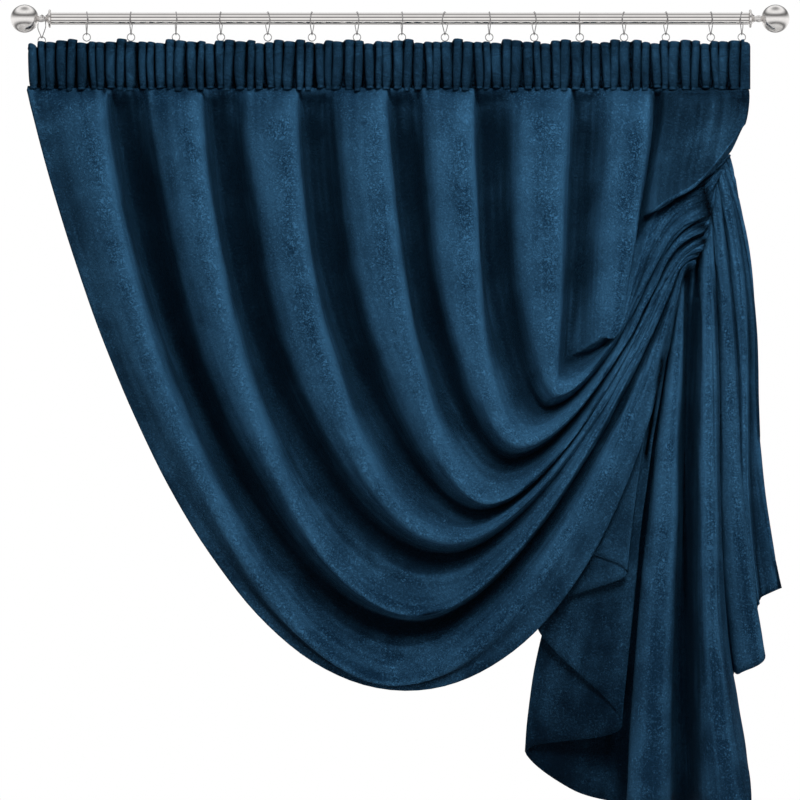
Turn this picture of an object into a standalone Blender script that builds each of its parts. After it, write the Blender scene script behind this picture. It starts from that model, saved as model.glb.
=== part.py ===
"""Velvet drape swept over a tieback, hung by wire rings on a curtain rod.

Frame: metres, +Z up, +X to the right as the room sees it, the cloth's face towards -Y.
The origin is the middle of the rod's axis. The tables are in millimetres.
"""
import math
from collections import namedtuple

import bmesh
import bpy
import numpy as np

MM = 0.001
FIT_GAP = 0.3

# Rod and finials, turned about the X axis.
ROD_RADIUS = 9.5
ROD_HALF_LENGTH = 551.0
BALL_RADIUS = 22.5
BALL_CENTRE_X = 593.0
FLANGE_RADIUS = 14.5
FLANGE_THICKNESS = 4.0
FLANGE_ROUND = 1.6
NECK_RADIUS = 4.4
COLLAR_LENGTH = 7.0
COLLAR_RADIUS = 10.5
BALL_STEPS, FLARE_STEPS = 10, 4
TURNED_SIDES = 24

# Wire rings, one every 71 mm or so, each with an eye that takes the heading's back.
RING_RADIUS = 18.0
RING_WIRE = 0.9
EYE_RADIUS = 6.0
EYE_WIRE = 0.8
LOOP_STEPS, WIRE_SIDES = 14, 4
RING_X = (-566, -495, -425, -354, -283, -209, -139, -68, 3, 71, 141, 212, 284, 354, 420, 491, 540)
RING_TURN = (24, 7, -3, 6, -5, 12, -8, 10, 4, -14, 5, 9, -4, -11, 8, 6, -10)

# Heading: a pencil-pleated band sewn along the top of the panel.
HEAD_LEFT, HEAD_RIGHT = -588.0, 552.0
HEAD_TOP, HEAD_BOTTOM = -37.0, -112.0
PLEATS = 73
PLEAT_FRONT, PLEAT_BACK = -14.5, -4.0
HEAD_CLOTH = 2.2
HEAD_CORNER = 9.0
HEAD_TOP_SPREAD, HEAD_SIDE_SPREAD = 3.0, 1.6
# One pleat seen from above: place across it and how far forward it stands, to the share of
# the heading's row.
PLEAT_SHAPE = ((0.00, PLEAT_FRONT), (0.34, PLEAT_FRONT), (0.52, PLEAT_BACK), (0.84, PLEAT_BACK))
HEAD_ROWS = ((HEAD_TOP, 1.0), ((HEAD_TOP + HEAD_BOTTOM) / 2, 0.9), (HEAD_BOTTOM, 0.65))

# Panel: one sheet from the heading, through the swag and the gather, to the hem.
CLOTH = 2.2
PANEL_TOP = HEAD_BOTTOM - HEAD_CLOTH / 2 - FIT_GAP
PANEL_TOP_Y = -8.0

# Each row is one lit fold, seen from the front. u is its place across the cloth. The fold
# leaves the heading at top_x, runs through side and belly to its lowest point, and rises
# through rise and fan to its end, in two Bezier curves. From there it bends to the right
# and reaches the gather at turn, where it goes over the tieback and starts down again.
Fold = namedtuple("Fold", "name u top_x side_x side_z belly_x low_x low_z "
                          "rise_x fan_x fan_z end_x end_z turn_x turn_z")
FOLDS = (
    Fold("edge", 0.00, -588, -508, -446, -306, 8, -1060, 250, 386, -732, 438, -444, 458, -394),
    Fold("one", 0.14, -467, -439, -480, -210, 0, -1029, 158, 356, -666, 429, -444, 461, -384),
    Fold("two", 0.32, -317, -296, -492, -150, 32, -928, 166, 332, -634, 417, -444, 466, -375),
    Fold("three", 0.45, -166, -165, -428, -58, 87, -819, 190, 332, -610, 409, -444, 472, -364),
    Fold("four", 0.56, -25, -13, -444, 63, 142, -757, 229, 332, -576, 400, -444, 476, -353),
    Fold("five", 0.655, 111, 120, -460, 139, 194, -664, 256, 340, -547, 389, -444, 474, -335),
    Fold("six", 0.76, 258, 253, -413, 236, 248, -588, 292, 348, -492, 375, -436, 485, -307),
    Fold("seven", 0.85, 393, 383, -270, 342, 346, -484, 350, 356, -452, 363, -432, 474, -274),
    Fold("billow_left", 0.895, 424, 417, -207, 388, 400, -304, 408, 419, -293, 430, -286, 479, -258),
    Fold("billow", 0.94, 482, 482, -191, 452, 465, -262, 471, 476, -255, 480, -252, 493, -239),
    Fold("selvedge", 1.00, 550, 551, -150, 543, 536, -190, 532, 526, -203, 522, -207, 517, -217),
)
# Two hollows run on lines of their own; the others follow from their neighbours.
OWN_HOLLOWS = (
    Fold("hollow_six", 0.785, 280, 274, -413, 258, 262, -539, 310, 351, -495, 370, -438, 479, -290),
    Fold("hollow_seven", 0.872, 404, 399, -240, 370, 374, -336, 382, 395, -321, 403, -315, 476, -266),
)
# How far back each of those lines lies: at the side, at the lowest point, at the end of
# the fan and at the turn. The front of the cloth is towards minus.
Depth = namedtuple("Depth", "side low end turn")
LINE_DEPTH = {
    "edge": Depth(-23, -20, -37, -34),
    "one": Depth(-34, -30, -46, -40),
    "two": Depth(-38, -44, -54, -44),
    "three": Depth(-38, -52, -54, -45),
    "four": Depth(-38, -60, -56, -46),
    "five": Depth(-38, -66, -58, -46),
    "six": Depth(-38, -72, -58, -46),
    "seven": Depth(-40, -70, -52, -42),
    "billow_left": Depth(-26, -62, -40, -24),
    "billow": Depth(-42, -58, -34, -20),
    "selvedge": Depth(-16, -18, -15, -12),
    "hollow_six": Depth(28, -28, -50, -38),
    "hollow_seven": Depth(18, -14, -36, -32),
}
# Each row is the hollow between a fold and the next: its share of the way at the heading,
# at the lowest point and in the fan, and how deep it is behind the fold before it.
Hollow = namedtuple("Hollow", "after before u share_top share_low share_fan "
                              "deep_side deep_low deep_fan deep_end deep_turn")
HOLLOWS = (
    Hollow("one", "two", 0.19, 0.12, 0.70, 0.66, 74, 52, 40, 8, 5),
    Hollow("two", "three", 0.36, 0.12, 0.72, 0.66, 76, 54, 18, 3, 4),
    Hollow("three", "four", 0.485, 0.13, 0.66, 0.62, 76, 50, 14, 2, 4),
    Hollow("four", "five", 0.59, 0.12, 0.62, 0.66, 76, 52, 32, 8, 7),
    Hollow("five", "six", 0.69, 0.12, 0.64, 0.60, 72, 48, 22, 3, 6),
)
# The brink, where the cloth has turned away behind a crest: how far it is on the way from the
# crest to the hollow, and how much of the hollow's depth is left in front of it.
BRINK_SHARE, BRINK_FRONT = Depth(0.42, 0.50, 0.50, 0.50), Depth(0.28, 0.52, 0.50, 0.50)
# The floor of a hollow and the shoulder where the next fold's face begins: how far each is
# on the way from the hollow to that fold's crest, and how much of its height it has regained.
FLOOR_SHARE, FLOOR_FRONT = Depth(0.24, 0.30, 0.33, 0.33), Depth(0.20, 0.38, 0.36, 0.33)
SHOULDER_SHARE, SHOULDER_FRONT = Depth(0.48, 0.60, 0.64, 0.64), Depth(0.84, 0.80, 0.70, 0.67)
FACES = (
    ("hollow_one", "two"),
    ("hollow_two", "three"),
    ("hollow_three", "four"),
    ("hollow_four", "five"),
    ("hollow_five", "six"),
    ("hollow_six", "seven"),
)
# A low ridge close to the left edge.
EDGE_RIDGE_U = 0.035
EDGE_RIDGE_SHARE = Depth(0.16, 0.34, 0.34, 0.34)
EDGE_RIDGE_DEPTH = Depth(-28, -24, -42, -38)

# Tail: each row is one pleat line from the gather to the hem. sway is how far it swings to
# the right and back on the way down.
Pleat = namedtuple("Pleat", "name u top_x top_z mid_x mid_z hem_x hem_z deep_top deep_mid deep_hem sway")
TAIL = (
    Pleat("cascade_edge", 0.00, 440, -404, 372, -620, 294, -841, -8, -6, -8, 0),
    Pleat("cascade_one_fold", 0.06, 443, -400, 389, -640, 357, -877, -10, -16, -20, 0),
    Pleat("cascade_two_left", 0.13, 444, -396, 326, -690, 216, -958, -3, 6, 8, 0),
    Pleat("cascade_two_fold", 0.19, 446, -392, 388, -740, 351, -1119, 0, 4, 4, 0),
    Pleat("cascade_three_left", 0.24, 448, -388, 264, -830, 201, -1158, 8, 28, 30, 0),
    Pleat("cascade_three_mid", 0.28, 449, -387, 340, -815, 275, -1222, 9, 38, 42, 0),
    Pleat("hollow_one", 0.32, 449, -386, 394, -800, 366, -1246, 10, 46, 52, 0),
    Pleat("face_two_left", 0.35, 450, -384, 391, -800, 358, -1240, -5, -19, -26, 0),
    Pleat("face_two_right", 0.40, 452, -380, 433, -800, 421, -1240, -10, -30, -36, 0),
    Pleat("hollow_two_left", 0.43, 460, -362, 443, -800, 436, -1242, 8, 38, 40, 0),
    Pleat("hollow_two_right", 0.465, 471, -345, 457, -800, 460, -1242, 8, 38, 40, 0),
    Pleat("face_three_left", 0.50, 477, -324, 466, -790, 474, -1238, -6, -25, -31, 0),
    Pleat("face_three_right", 0.61, 491, -308, 503, -760, 550, -1202, -9, -30, -36, 8),
    Pleat("hollow_three", 0.645, 491, -298, 504, -695, 528, -1045, 6, 12, 16, 6),
    Pleat("face_four_left", 0.685, 493, -288, 511, -675, 534, -1034, -3, -15, -20, 5),
    Pleat("face_four", 0.75, 500, -264, 533, -640, 573, -1004, -5, -20, -26, 5),
    Pleat("hollow_four", 0.785, 502, -258, 534, -612, 553, -968, 6, 8, 10, 6),
    Pleat("face_five_left", 0.81, 505, -252, 538, -600, 554, -948, -1, -7, -8, 7),
    Pleat("face_five", 0.85, 510, -243, 546, -580, 563, -930, -3, -11, -12, 8),
    Pleat("hollow_five", 0.88, 512, -238, 552, -580, 568, -918, 3, 4, 5, 9),
    Pleat("face_six", 0.955, 520, -222, 563, -560, 599, -900, -3, -8, -10, 10),
    Pleat("back_edge", 1.00, 518, -228, 548, -570, 563, -918, 7, 16, 18, 10),
)
# Directions and reaches of the bend into the gather and of the turn over the tieback.
TURN_HEADING = (0.96, 0.0, 0.28)
ENTER_REACH, ARRIVE_REACH = 0.5, 0.35
TURN_REACH = 12.0
# The folds stand out quickly under the heading, then more slowly.
RELIEF_START, RELIEF_FULL = 0.022, 0.11
RELIEF_QUICK = 0.66

# Samples of the sheet: rows down the drop, the rise, the turn and the tail.
DROP_ROWS, RISE_ROWS, GATHER_ROWS, TURN_ROWS, TAIL_ROWS = 9, 5, 2, 3, 6
DROP_CROWDING = 1.6
# Columns stand on the guide lines, one more in a wide gap and none twice in a narrow one.
WIDE_GAP, NARROW_GAP = 0.016, 0.007

# Tieback: a plain bent arm from a wall plate. The gather lies over it and hides it.
TIE_RADIUS = 5.0
TIE_ROUTE = (
    (412, 88, -418),
    (412, 45, -418),
    (413, 5, -418),
    (420, -18, -414),
    (434, -27, -402),
    (446, -29, -382),
    (457, -30, -350),
    (467, -29, -315),
    (471, -27, -288),
)
TIE_STEPS = 5
PLATE_RADIUS = 16.0
PLATE_THICKNESS = 4.0
PLATE_ROUND = 1.0


def ease(t):
    """Smooth step from 0 to 1."""
    t = np.clip(t, 0.0, 1.0)
    return t * t * (3 - 2 * t)


def bezier(points, t):
    """Cubic Bezier curve through four (x, z) control points."""
    a, b, c, d = [np.asarray(p, float)[None, :] for p in points]
    t = np.asarray(t)[:, None]
    s = 1 - t
    return s ** 3 * a + 3 * s * s * t * b + 3 * s * t * t * c + t ** 3 * d


def fold_line(row, drop, rise):
    """The (x, z) line of a fold from the heading to the end of its rise."""
    low = (row.low_x, row.low_z)
    down = bezier(((row.top_x, PANEL_TOP), (row.side_x, row.side_z), (row.belly_x, row.low_z), low), drop)
    up = bezier((low, (row.rise_x, row.low_z), (row.fan_x, row.fan_z), (row.end_x, row.end_z)), rise)
    return np.vstack((down, up[1:]))


def along(drop, rise, top, side, low, end):
    """A value that goes from top to side to low down the drop, then to end up the rise."""
    start = RELIEF_QUICK * ease(drop / RELIEF_START) + (1 - RELIEF_QUICK) * ease(drop / RELIEF_FULL)
    down = top + (side - top) * start
    down = down + (low - side) * ease((drop - 0.25) / 0.75)
    up = low + (end - low) * ease(rise)
    return np.concatenate((down, up[1:]))


def swag_lines(drop, rise):
    """Guide lines of the swag: {name: (u, xyz line, xyz turn)}."""
    lines = {}
    for row in FOLDS + OWN_HOLLOWS:
        depth = LINE_DEPTH[row.name]
        xz = fold_line(row, drop, rise)
        y = along(drop, rise, PANEL_TOP_Y, depth.side, depth.low, depth.end)
        line = np.column_stack((xz[:, 0], y, xz[:, 1]))
        lines[row.name] = (row.u, line, np.array((row.turn_x, depth.turn, row.turn_z), float))

    edge, one = lines["edge"], lines["one"]
    share, depth = EDGE_RIDGE_SHARE, EDGE_RIDGE_DEPTH
    part = along(drop, rise, share.side, share.side, share.low, share.end)[:, None]
    ridge = edge[1] + (one[1] - edge[1]) * part
    ridge[:, 1] = along(drop, rise, PANEL_TOP_Y, depth.side, depth.low, depth.end)
    turn = edge[2] + (one[2] - edge[2]) * share.turn
    turn[1] = depth.turn
    lines["edge_ridge"] = (EDGE_RIDGE_U, ridge, turn)

    for row in HOLLOWS:
        left, right = lines[row.after], lines[row.before]
        part = along(drop, rise, row.share_top, row.share_top, row.share_low, row.share_fan)[:, None]
        hollow = left[1] + (right[1] - left[1]) * part
        deep = along(drop, rise, 0.0, row.deep_side, row.deep_low, row.deep_end)
        swell = np.concatenate((np.zeros_like(drop), np.sin(math.pi * rise[1:]) ** 2))
        hollow[:, 1] += deep + (row.deep_fan - (row.deep_low + row.deep_end) / 2) * swell
        turn = (left[2] + right[2]) / 2
        turn[1] += row.deep_turn
        lines["hollow_" + row.after] = (row.u, hollow, turn)

        part = along(drop, rise, BRINK_SHARE.side, BRINK_SHARE.side, BRINK_SHARE.low, BRINK_SHARE.end)
        kept = along(drop, rise, BRINK_FRONT.side, BRINK_FRONT.side, BRINK_FRONT.low, BRINK_FRONT.end)
        brink = left[1] + (hollow - left[1]) * part[:, None]
        brink[:, 1] = hollow[:, 1] + (left[1][:, 1] - hollow[:, 1]) * kept
        lines["brink_" + row.after] = (left[0] + (row.u - left[0]) * BRINK_SHARE.low, brink,
                                       (left[2] + turn) / 2)

    for hollow_name, fold_name in FACES:
        before, crest = lines[hollow_name], lines[fold_name]
        for name, share, front in (("floor_", FLOOR_SHARE, FLOOR_FRONT),
                                   ("shoulder_", SHOULDER_SHARE, SHOULDER_FRONT)):
            part = along(drop, rise, share.side, share.side, share.low, share.end)[:, None]
            regained = along(drop, rise, front.side, front.side, front.low, front.end)
            line = before[1] + (crest[1] - before[1]) * part
            line[:, 1] = before[1][:, 1] + (crest[1][:, 1] - before[1][:, 1]) * regained
            turn = before[2] + (crest[2] - before[2]) * share.turn
            lines[name + fold_name] = (before[0] + (crest[0] - before[0]) * share.low, line, turn)
    return lines


def swag_strands(drop, rise):
    """The swag's guide lines as (u, xyz line) from the left edge to the right."""
    return sorted((line[:2] for line in swag_lines(drop, rise).values()), key=lambda strand: strand[0])


def turn_strands():
    """Where each guide line meets the gather, as (u, xyz of one row)."""
    ends = np.linspace(0, 1, 2)
    lines = swag_lines(ends, ends).values()
    return sorted(((line[0], line[2][None, :]) for line in lines), key=lambda strand: strand[0])


def tail_strands(fall):
    """Every guide line of the tail as (u, xyz array), from the left edge to the right."""
    strands = []
    for row in TAIL:
        top = np.array((row.top_x, row.deep_top, row.top_z), float)
        mid = np.array((row.mid_x, row.deep_mid, row.mid_z), float)
        hem = np.array((row.hem_x, row.deep_hem, row.hem_z), float)
        bow = 2 * mid - 0.5 * (top + hem)
        t = fall[:, None]
        line = (1 - t) ** 2 * top + 2 * (1 - t) * t * bow + t * t * hem
        line[:, 0] += row.sway * np.sin(2 * math.pi * fall)
        strands.append((row.u, line))
    return strands


def across(strands, columns):
    """Smooth surface through the guide lines: rows by columns by xyz."""
    u = np.array([strand[0] for strand in strands])
    points = np.array([strand[1] for strand in strands])
    gaps = np.diff(u)[:, None, None]
    slopes = np.diff(points, axis=0) / gaps
    tangents = np.empty_like(points)
    tangents[0], tangents[-1] = slopes[0], slopes[-1]
    tangents[1:-1] = (slopes[:-1] * gaps[1:] + slopes[1:] * gaps[:-1]) / (gaps[1:] + gaps[:-1])
    i = np.clip(np.searchsorted(u, columns, side="right") - 1, 0, len(u) - 2)
    width = (u[i + 1] - u[i])[:, None, None]
    t = ((columns - u[i]) / (u[i + 1] - u[i]))[:, None, None]
    surface = (
        (2 * t ** 3 - 3 * t ** 2 + 1) * points[i]
        + (t ** 3 - 2 * t ** 2 + t) * width * tangents[i]
        + (3 * t ** 2 - 2 * t ** 3) * points[i + 1]
        + (t ** 3 - t ** 2) * width * tangents[i + 1]
    )
    return surface.transpose(1, 0, 2)


def unit(vectors):
    return vectors / np.linalg.norm(vectors, axis=-1, keepdims=True)


def bend(controls, steps):
    """Rows of a surface along a cubic Bezier whose four controls are rows of points."""
    rows = []
    for t in steps:
        s = 1 - t
        rows.append(s ** 3 * controls[0] + 3 * s * s * t * controls[1]
                    + 3 * s * t * t * controls[2] + t ** 3 * controls[3])
    return np.array(rows)


def sheet_surface(columns, drop, rise, gather, turn, fall):
    """The middle surface of the panel, rows from the heading to the hem."""
    swag = across(swag_strands(drop, rise), columns)
    tail = across(tail_strands(fall), columns)
    over = across(turn_strands(), columns)[0]
    enter = unit(swag[-1] - swag[-2])
    leave = unit(tail[1] - tail[0])
    heading = np.array(TURN_HEADING)
    gap = np.linalg.norm(over - swag[-1], axis=1, keepdims=True)
    into = (swag[-1], swag[-1] + enter * gap * ENTER_REACH, over - heading * gap * ARRIVE_REACH, over)
    round_tie = (over, over + heading * TURN_REACH, tail[0] - leave * TURN_REACH, tail[0])
    return np.concatenate((swag, bend(into, gather[1:]), bend(round_tie, turn[1:-1]), tail))


def column_places():
    """Places across the cloth: the guide lines of the swag and the tail, and between them."""
    swag = [strand[0] for strand in swag_strands(np.linspace(0, 1, 3), np.linspace(0, 1, 3))]
    places = [0.0]
    for guide in sorted(swag + [row.u for row in TAIL]):
        gap = guide - places[-1]
        if gap > WIDE_GAP:
            places.append(places[-1] + gap / 2)
        if gap > NARROW_GAP:
            places.append(guide)
    places[-1] = 1.0
    return np.array(places)


def surface_normals(grid):
    """Unit normals of a grid of points, facing the side that rows x columns turn to."""
    down = np.gradient(grid, axis=0)
    right = np.gradient(grid, axis=1)
    return unit(np.cross(down, right))


def thick_sheet(name, grid, thickness):
    """A closed solid around a grid of middle points."""
    rows, columns = grid.shape[:2]
    half = surface_normals(grid) * thickness / 2
    points = np.concatenate((grid + half, grid - half)).reshape(-1, 3) * MM
    back = rows * columns

    def at(row, column, side):
        return side * back + row * columns + column

    faces = []
    for r in range(rows - 1):
        for c in range(columns - 1):
            faces.append((at(r, c, 0), at(r + 1, c, 0), at(r + 1, c + 1, 0), at(r, c + 1, 0)))
            faces.append((at(r, c, 1), at(r, c + 1, 1), at(r + 1, c + 1, 1), at(r + 1, c, 1)))
    for c in range(columns - 1):
        faces.append((at(0, c, 0), at(0, c + 1, 0), at(0, c + 1, 1), at(0, c, 1)))
        last = rows - 1
        faces.append((at(last, c, 0), at(last, c, 1), at(last, c + 1, 1), at(last, c + 1, 0)))
    for r in range(rows - 1):
        faces.append((at(r, 0, 0), at(r, 0, 1), at(r + 1, 0, 1), at(r + 1, 0, 0)))
        last = columns - 1
        faces.append((at(r, last, 0), at(r + 1, last, 0), at(r + 1, last, 1), at(r, last, 1)))
    return mesh_object(name, points, faces)


def mesh_object(name, points, faces):
    mesh = bpy.data.meshes.new(name)
    mesh.from_pydata([tuple(p) for p in points], [], faces)
    bm = bmesh.new()
    bm.from_mesh(mesh)
    bmesh.ops.recalc_face_normals(bm, faces=bm.faces)
    bm.to_mesh(mesh)
    bm.free()
    obj = bpy.data.objects.new(name, mesh)
    bpy.context.scene.collection.objects.link(obj)
    return obj


def paint(obj, colour, roughness, metallic):
    material = bpy.data.materials.new(obj.name + "-finish")
    material.use_nodes = True
    shader = material.node_tree.nodes["Principled BSDF"]
    shader.inputs["Base Color"].default_value = (*colour, 1.0)
    shader.inputs["Roughness"].default_value = roughness
    shader.inputs["Metallic"].default_value = metallic
    obj.data.materials.append(material)


def paint_velvet(obj):
    paint(obj, (0.012, 0.060, 0.125), 0.95, 0.0)


def paint_steel(obj):
    paint(obj, (0.62, 0.61, 0.60), 0.25, 1.0)


def turned(name, profile):
    """A solid turned about the X axis from (x, radius) points, closed on the axis."""
    bm = bmesh.new()
    points = [bm.verts.new((x * MM, 0.0, radius * MM)) for x, radius in profile]
    edges = [bm.edges.new(pair) for pair in zip(points[:-1], points[1:])]
    bmesh.ops.spin(bm, geom=points + edges, axis=(1, 0, 0), cent=(0, 0, 0), angle=2 * math.pi,
                   steps=TURNED_SIDES)
    bmesh.ops.remove_doubles(bm, verts=bm.verts, dist=0.00001)
    bmesh.ops.recalc_face_normals(bm, faces=bm.faces)
    mesh = bpy.data.meshes.new(name)
    bm.to_mesh(mesh)
    bm.free()
    obj = bpy.data.objects.new(name, mesh)
    bpy.context.scene.collection.objects.link(obj)
    mesh.shade_smooth()
    mesh.set_sharp_from_angle(angle=math.radians(35))
    paint_steel(obj)
    return obj


def build_rod():
    half = ROD_HALF_LENGTH
    turned("rod", [(-half, 0), (-half, ROD_RADIUS), (half, ROD_RADIUS), (half, 0)])


def build_finial(name, side):
    """Ball, slim neck, flared collar and a flange that closes the rod's end."""
    profile = []
    start = math.asin(NECK_RADIUS / BALL_RADIUS)
    for i in range(BALL_STEPS + 1):
        angle = math.pi - (math.pi - start) * i / BALL_STEPS
        profile.append((BALL_CENTRE_X - BALL_RADIUS * math.cos(angle), BALL_RADIUS * math.sin(angle)))
    flange_in = ROD_HALF_LENGTH + FIT_GAP
    flange_out = flange_in + FLANGE_THICKNESS
    collar_end = flange_out + COLLAR_LENGTH
    profile.append((collar_end, NECK_RADIUS))
    for i in range(1, FLARE_STEPS + 1):
        t = i / FLARE_STEPS
        radius = NECK_RADIUS + (COLLAR_RADIUS - NECK_RADIUS) * t * t
        profile.append((collar_end - COLLAR_LENGTH * t, radius))
    profile.append((flange_out, FLANGE_RADIUS - FLANGE_ROUND))
    profile.append((flange_out - FLANGE_ROUND, FLANGE_RADIUS))
    profile.append((flange_in + FLANGE_ROUND / 2, FLANGE_RADIUS))
    profile.append((flange_in, FLANGE_RADIUS - FLANGE_ROUND / 2))
    profile.append((flange_in, 0))
    turned(name, [(side * x, radius) for x, radius in profile])


def wire_loop(name, centre, radius, wire, turn, facing):
    """A closed round of wire. facing 'end' stands across the rod, 'front' along it."""
    bpy.ops.mesh.primitive_torus_add(major_radius=radius * MM, minor_radius=wire * MM,
                                     major_segments=LOOP_STEPS, minor_segments=WIRE_SIDES)
    obj = bpy.context.active_object
    obj.name = name
    obj.data.name = name
    if facing == "end":
        obj.rotation_euler = (0, math.radians(90), math.radians(turn))
    else:
        obj.rotation_euler = (math.radians(90), 0, math.radians(turn))
    obj.location = [value * MM for value in centre]
    obj.data.shade_smooth()
    paint_steel(obj)
    return obj


def build_rings():
    for number, (x, turn) in enumerate(zip(RING_X, RING_TURN), start=1):
        hung_on = ROD_RADIUS if abs(x) < ROD_HALF_LENGTH else NECK_RADIUS
        top = hung_on + FIT_GAP + RING_WIRE
        centre_z = top - RING_RADIUS
        wire_loop(f"ring-{number:02d}", (x, 0, centre_z), RING_RADIUS, RING_WIRE, turn, "end")
        eye_top = centre_z - RING_RADIUS + RING_WIRE + FIT_GAP + EYE_WIRE
        wire_loop(f"eye-{number:02d}", (x, 0, eye_top - EYE_RADIUS), EYE_RADIUS, EYE_WIRE, 0, "front")


def uneven(number, spread):
    """A repeatable small difference for a numbered pleat, between -spread and spread."""
    return spread * math.sin(number * 2.399) * math.cos(number * 0.731 + 1.3)


def heading_grid():
    """Middle points of the pleated band: three rows, four points a pleat."""
    pitch = (HEAD_RIGHT - HEAD_LEFT) / PLEATS
    middle = (PLEAT_FRONT + PLEAT_BACK) / 2
    rows = []
    for height, share in HEAD_ROWS:
        row = []
        for pleat in range(PLEATS):
            for step, (place, depth) in enumerate(PLEAT_SHAPE):
                x = HEAD_LEFT + (pleat + place) * pitch + uneven(pleat + height / 50, HEAD_SIDE_SPREAD)
                y = middle + (depth - middle) * share
                z = height
                if height == HEAD_TOP:
                    z += uneven(pleat * 3 + step // 2, HEAD_TOP_SPREAD)
                    z -= HEAD_CORNER * (pleat == 0 and step < 2)
                row.append((x, y, z))
        end_z = height - (HEAD_CORNER if height == HEAD_TOP else 0)
        row.append((HEAD_RIGHT, PLEAT_FRONT, end_z))
        rows.append(row)
    return np.array(rows)


def build_heading():
    obj = thick_sheet("heading", heading_grid(), HEAD_CLOTH)
    paint_velvet(obj)


def build_panel():
    grid = sheet_surface(
        column_places(),
        np.linspace(0, 1, DROP_ROWS + 1) ** DROP_CROWDING,
        np.linspace(0, 1, RISE_ROWS + 1),
        np.linspace(0, 1, GATHER_ROWS + 1),
        np.linspace(0, 1, TURN_ROWS + 1),
        np.linspace(0, 1, TAIL_ROWS + 1),
    )
    obj = thick_sheet("panel", grid, CLOTH)
    obj.data.shade_smooth()
    paint_velvet(obj)


def smooth_route(points, steps):
    """Points on a smooth curve through a route."""
    places = np.arange(len(points), dtype=float)
    strands = [(place, np.array([point], float)) for place, point in zip(places, points)]
    count = (len(points) - 1) * steps + 1
    return across(strands, np.linspace(0, len(points) - 1, count))[0]


def build_tieback():
    curve = bpy.data.curves.new("tieback-arm", "CURVE")
    curve.dimensions = "3D"
    curve.bevel_depth = TIE_RADIUS * MM
    curve.bevel_resolution = 2
    curve.use_fill_caps = True
    route = smooth_route(TIE_ROUTE, TIE_STEPS)
    spline = curve.splines.new("POLY")
    spline.points.add(len(route) - 1)
    for point, place in zip(spline.points, route):
        point.co = (*(place * MM), 1.0)
    obj = bpy.data.objects.new("tieback-arm", curve)
    bpy.context.scene.collection.objects.link(obj)
    paint_steel(obj)

    x, y, z = TIE_ROUTE[0]
    front = -(FIT_GAP + PLATE_THICKNESS)
    profile = [(front, 0), (front, PLATE_RADIUS - PLATE_ROUND), (front + PLATE_ROUND, PLATE_RADIUS)]
    profile += [(-FIT_GAP, PLATE_RADIUS), (-FIT_GAP, 0)]
    plate = turned("tieback-plate", profile)
    plate.rotation_euler = (0, 0, math.radians(-90))
    plate.location = (x * MM, y * MM, z * MM)


def main():
    for obj in list(bpy.data.objects):
        bpy.data.objects.remove(obj)
    build_rod()
    build_finial("finial-left", -1)
    build_finial("finial-right", 1)
    build_rings()
    build_heading()
    build_panel()
    build_tieback()


main()
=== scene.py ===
"""Looks of the velvet drape: plush velvet, pencil-pleated heading, wire rings and steel rod.

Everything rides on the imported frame. The tables are in millimetres in the frame's axes:
+X to the right, +Z up, the cloth's face towards -Y.
"""
import math
from collections import namedtuple

import bmesh
import bpy
import numpy as np
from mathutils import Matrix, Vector, noise


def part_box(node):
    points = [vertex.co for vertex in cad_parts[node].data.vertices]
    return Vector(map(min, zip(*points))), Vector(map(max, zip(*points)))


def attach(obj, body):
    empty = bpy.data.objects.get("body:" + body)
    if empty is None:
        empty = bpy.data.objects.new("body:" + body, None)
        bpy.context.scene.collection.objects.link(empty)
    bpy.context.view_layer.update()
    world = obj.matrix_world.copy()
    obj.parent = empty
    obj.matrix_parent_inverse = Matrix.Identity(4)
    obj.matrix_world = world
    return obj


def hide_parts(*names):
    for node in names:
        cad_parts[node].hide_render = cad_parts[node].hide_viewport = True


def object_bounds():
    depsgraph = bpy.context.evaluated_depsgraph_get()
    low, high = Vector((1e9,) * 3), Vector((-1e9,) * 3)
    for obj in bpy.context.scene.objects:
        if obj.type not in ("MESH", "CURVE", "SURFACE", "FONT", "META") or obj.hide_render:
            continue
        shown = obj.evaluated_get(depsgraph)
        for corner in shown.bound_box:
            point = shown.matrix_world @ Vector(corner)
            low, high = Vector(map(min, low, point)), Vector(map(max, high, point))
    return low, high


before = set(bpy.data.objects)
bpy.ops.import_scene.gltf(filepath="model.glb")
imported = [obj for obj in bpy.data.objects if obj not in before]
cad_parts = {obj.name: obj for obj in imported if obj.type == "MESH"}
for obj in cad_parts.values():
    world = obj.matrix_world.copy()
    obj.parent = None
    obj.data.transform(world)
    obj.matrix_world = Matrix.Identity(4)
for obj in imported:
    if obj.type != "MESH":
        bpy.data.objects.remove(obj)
CAD_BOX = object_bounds()

MM = 0.001
TO_MM = 1000.0

# Rod and finials, turned about the X axis.
ROD_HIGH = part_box("rod")[1]
ROD_RADIUS = ROD_HIGH.z * TO_MM
ROD_HALF_LENGTH = ROD_HIGH.x * TO_MM
FINIAL_LOW, FINIAL_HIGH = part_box("finial-right")
BALL_RADIUS = FINIAL_HIGH.z * TO_MM
BALL_CENTRE_X = FINIAL_HIGH.x * TO_MM - BALL_RADIUS
FLANGE_IN = FINIAL_LOW.x * TO_MM
FLANGE_RADIUS = 14.5
FLANGE_THICKNESS = 4.0
FLANGE_ROUND = 2.0
ROD_END_ROUND = 0.6
ROD_END_BAND = 1.5
NECK_RADIUS = 4.4
NECK_SWELL = 1.1
COLLAR_LENGTH = 7.0
COLLAR_FLARE = 6.1
BALL_STEPS, NECK_STEPS, FLARE_STEPS, FLANGE_STEPS = 40, 9, 14, 9
TURNED_SIDES = 96
TURNED_SHARP = 38.0

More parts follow.
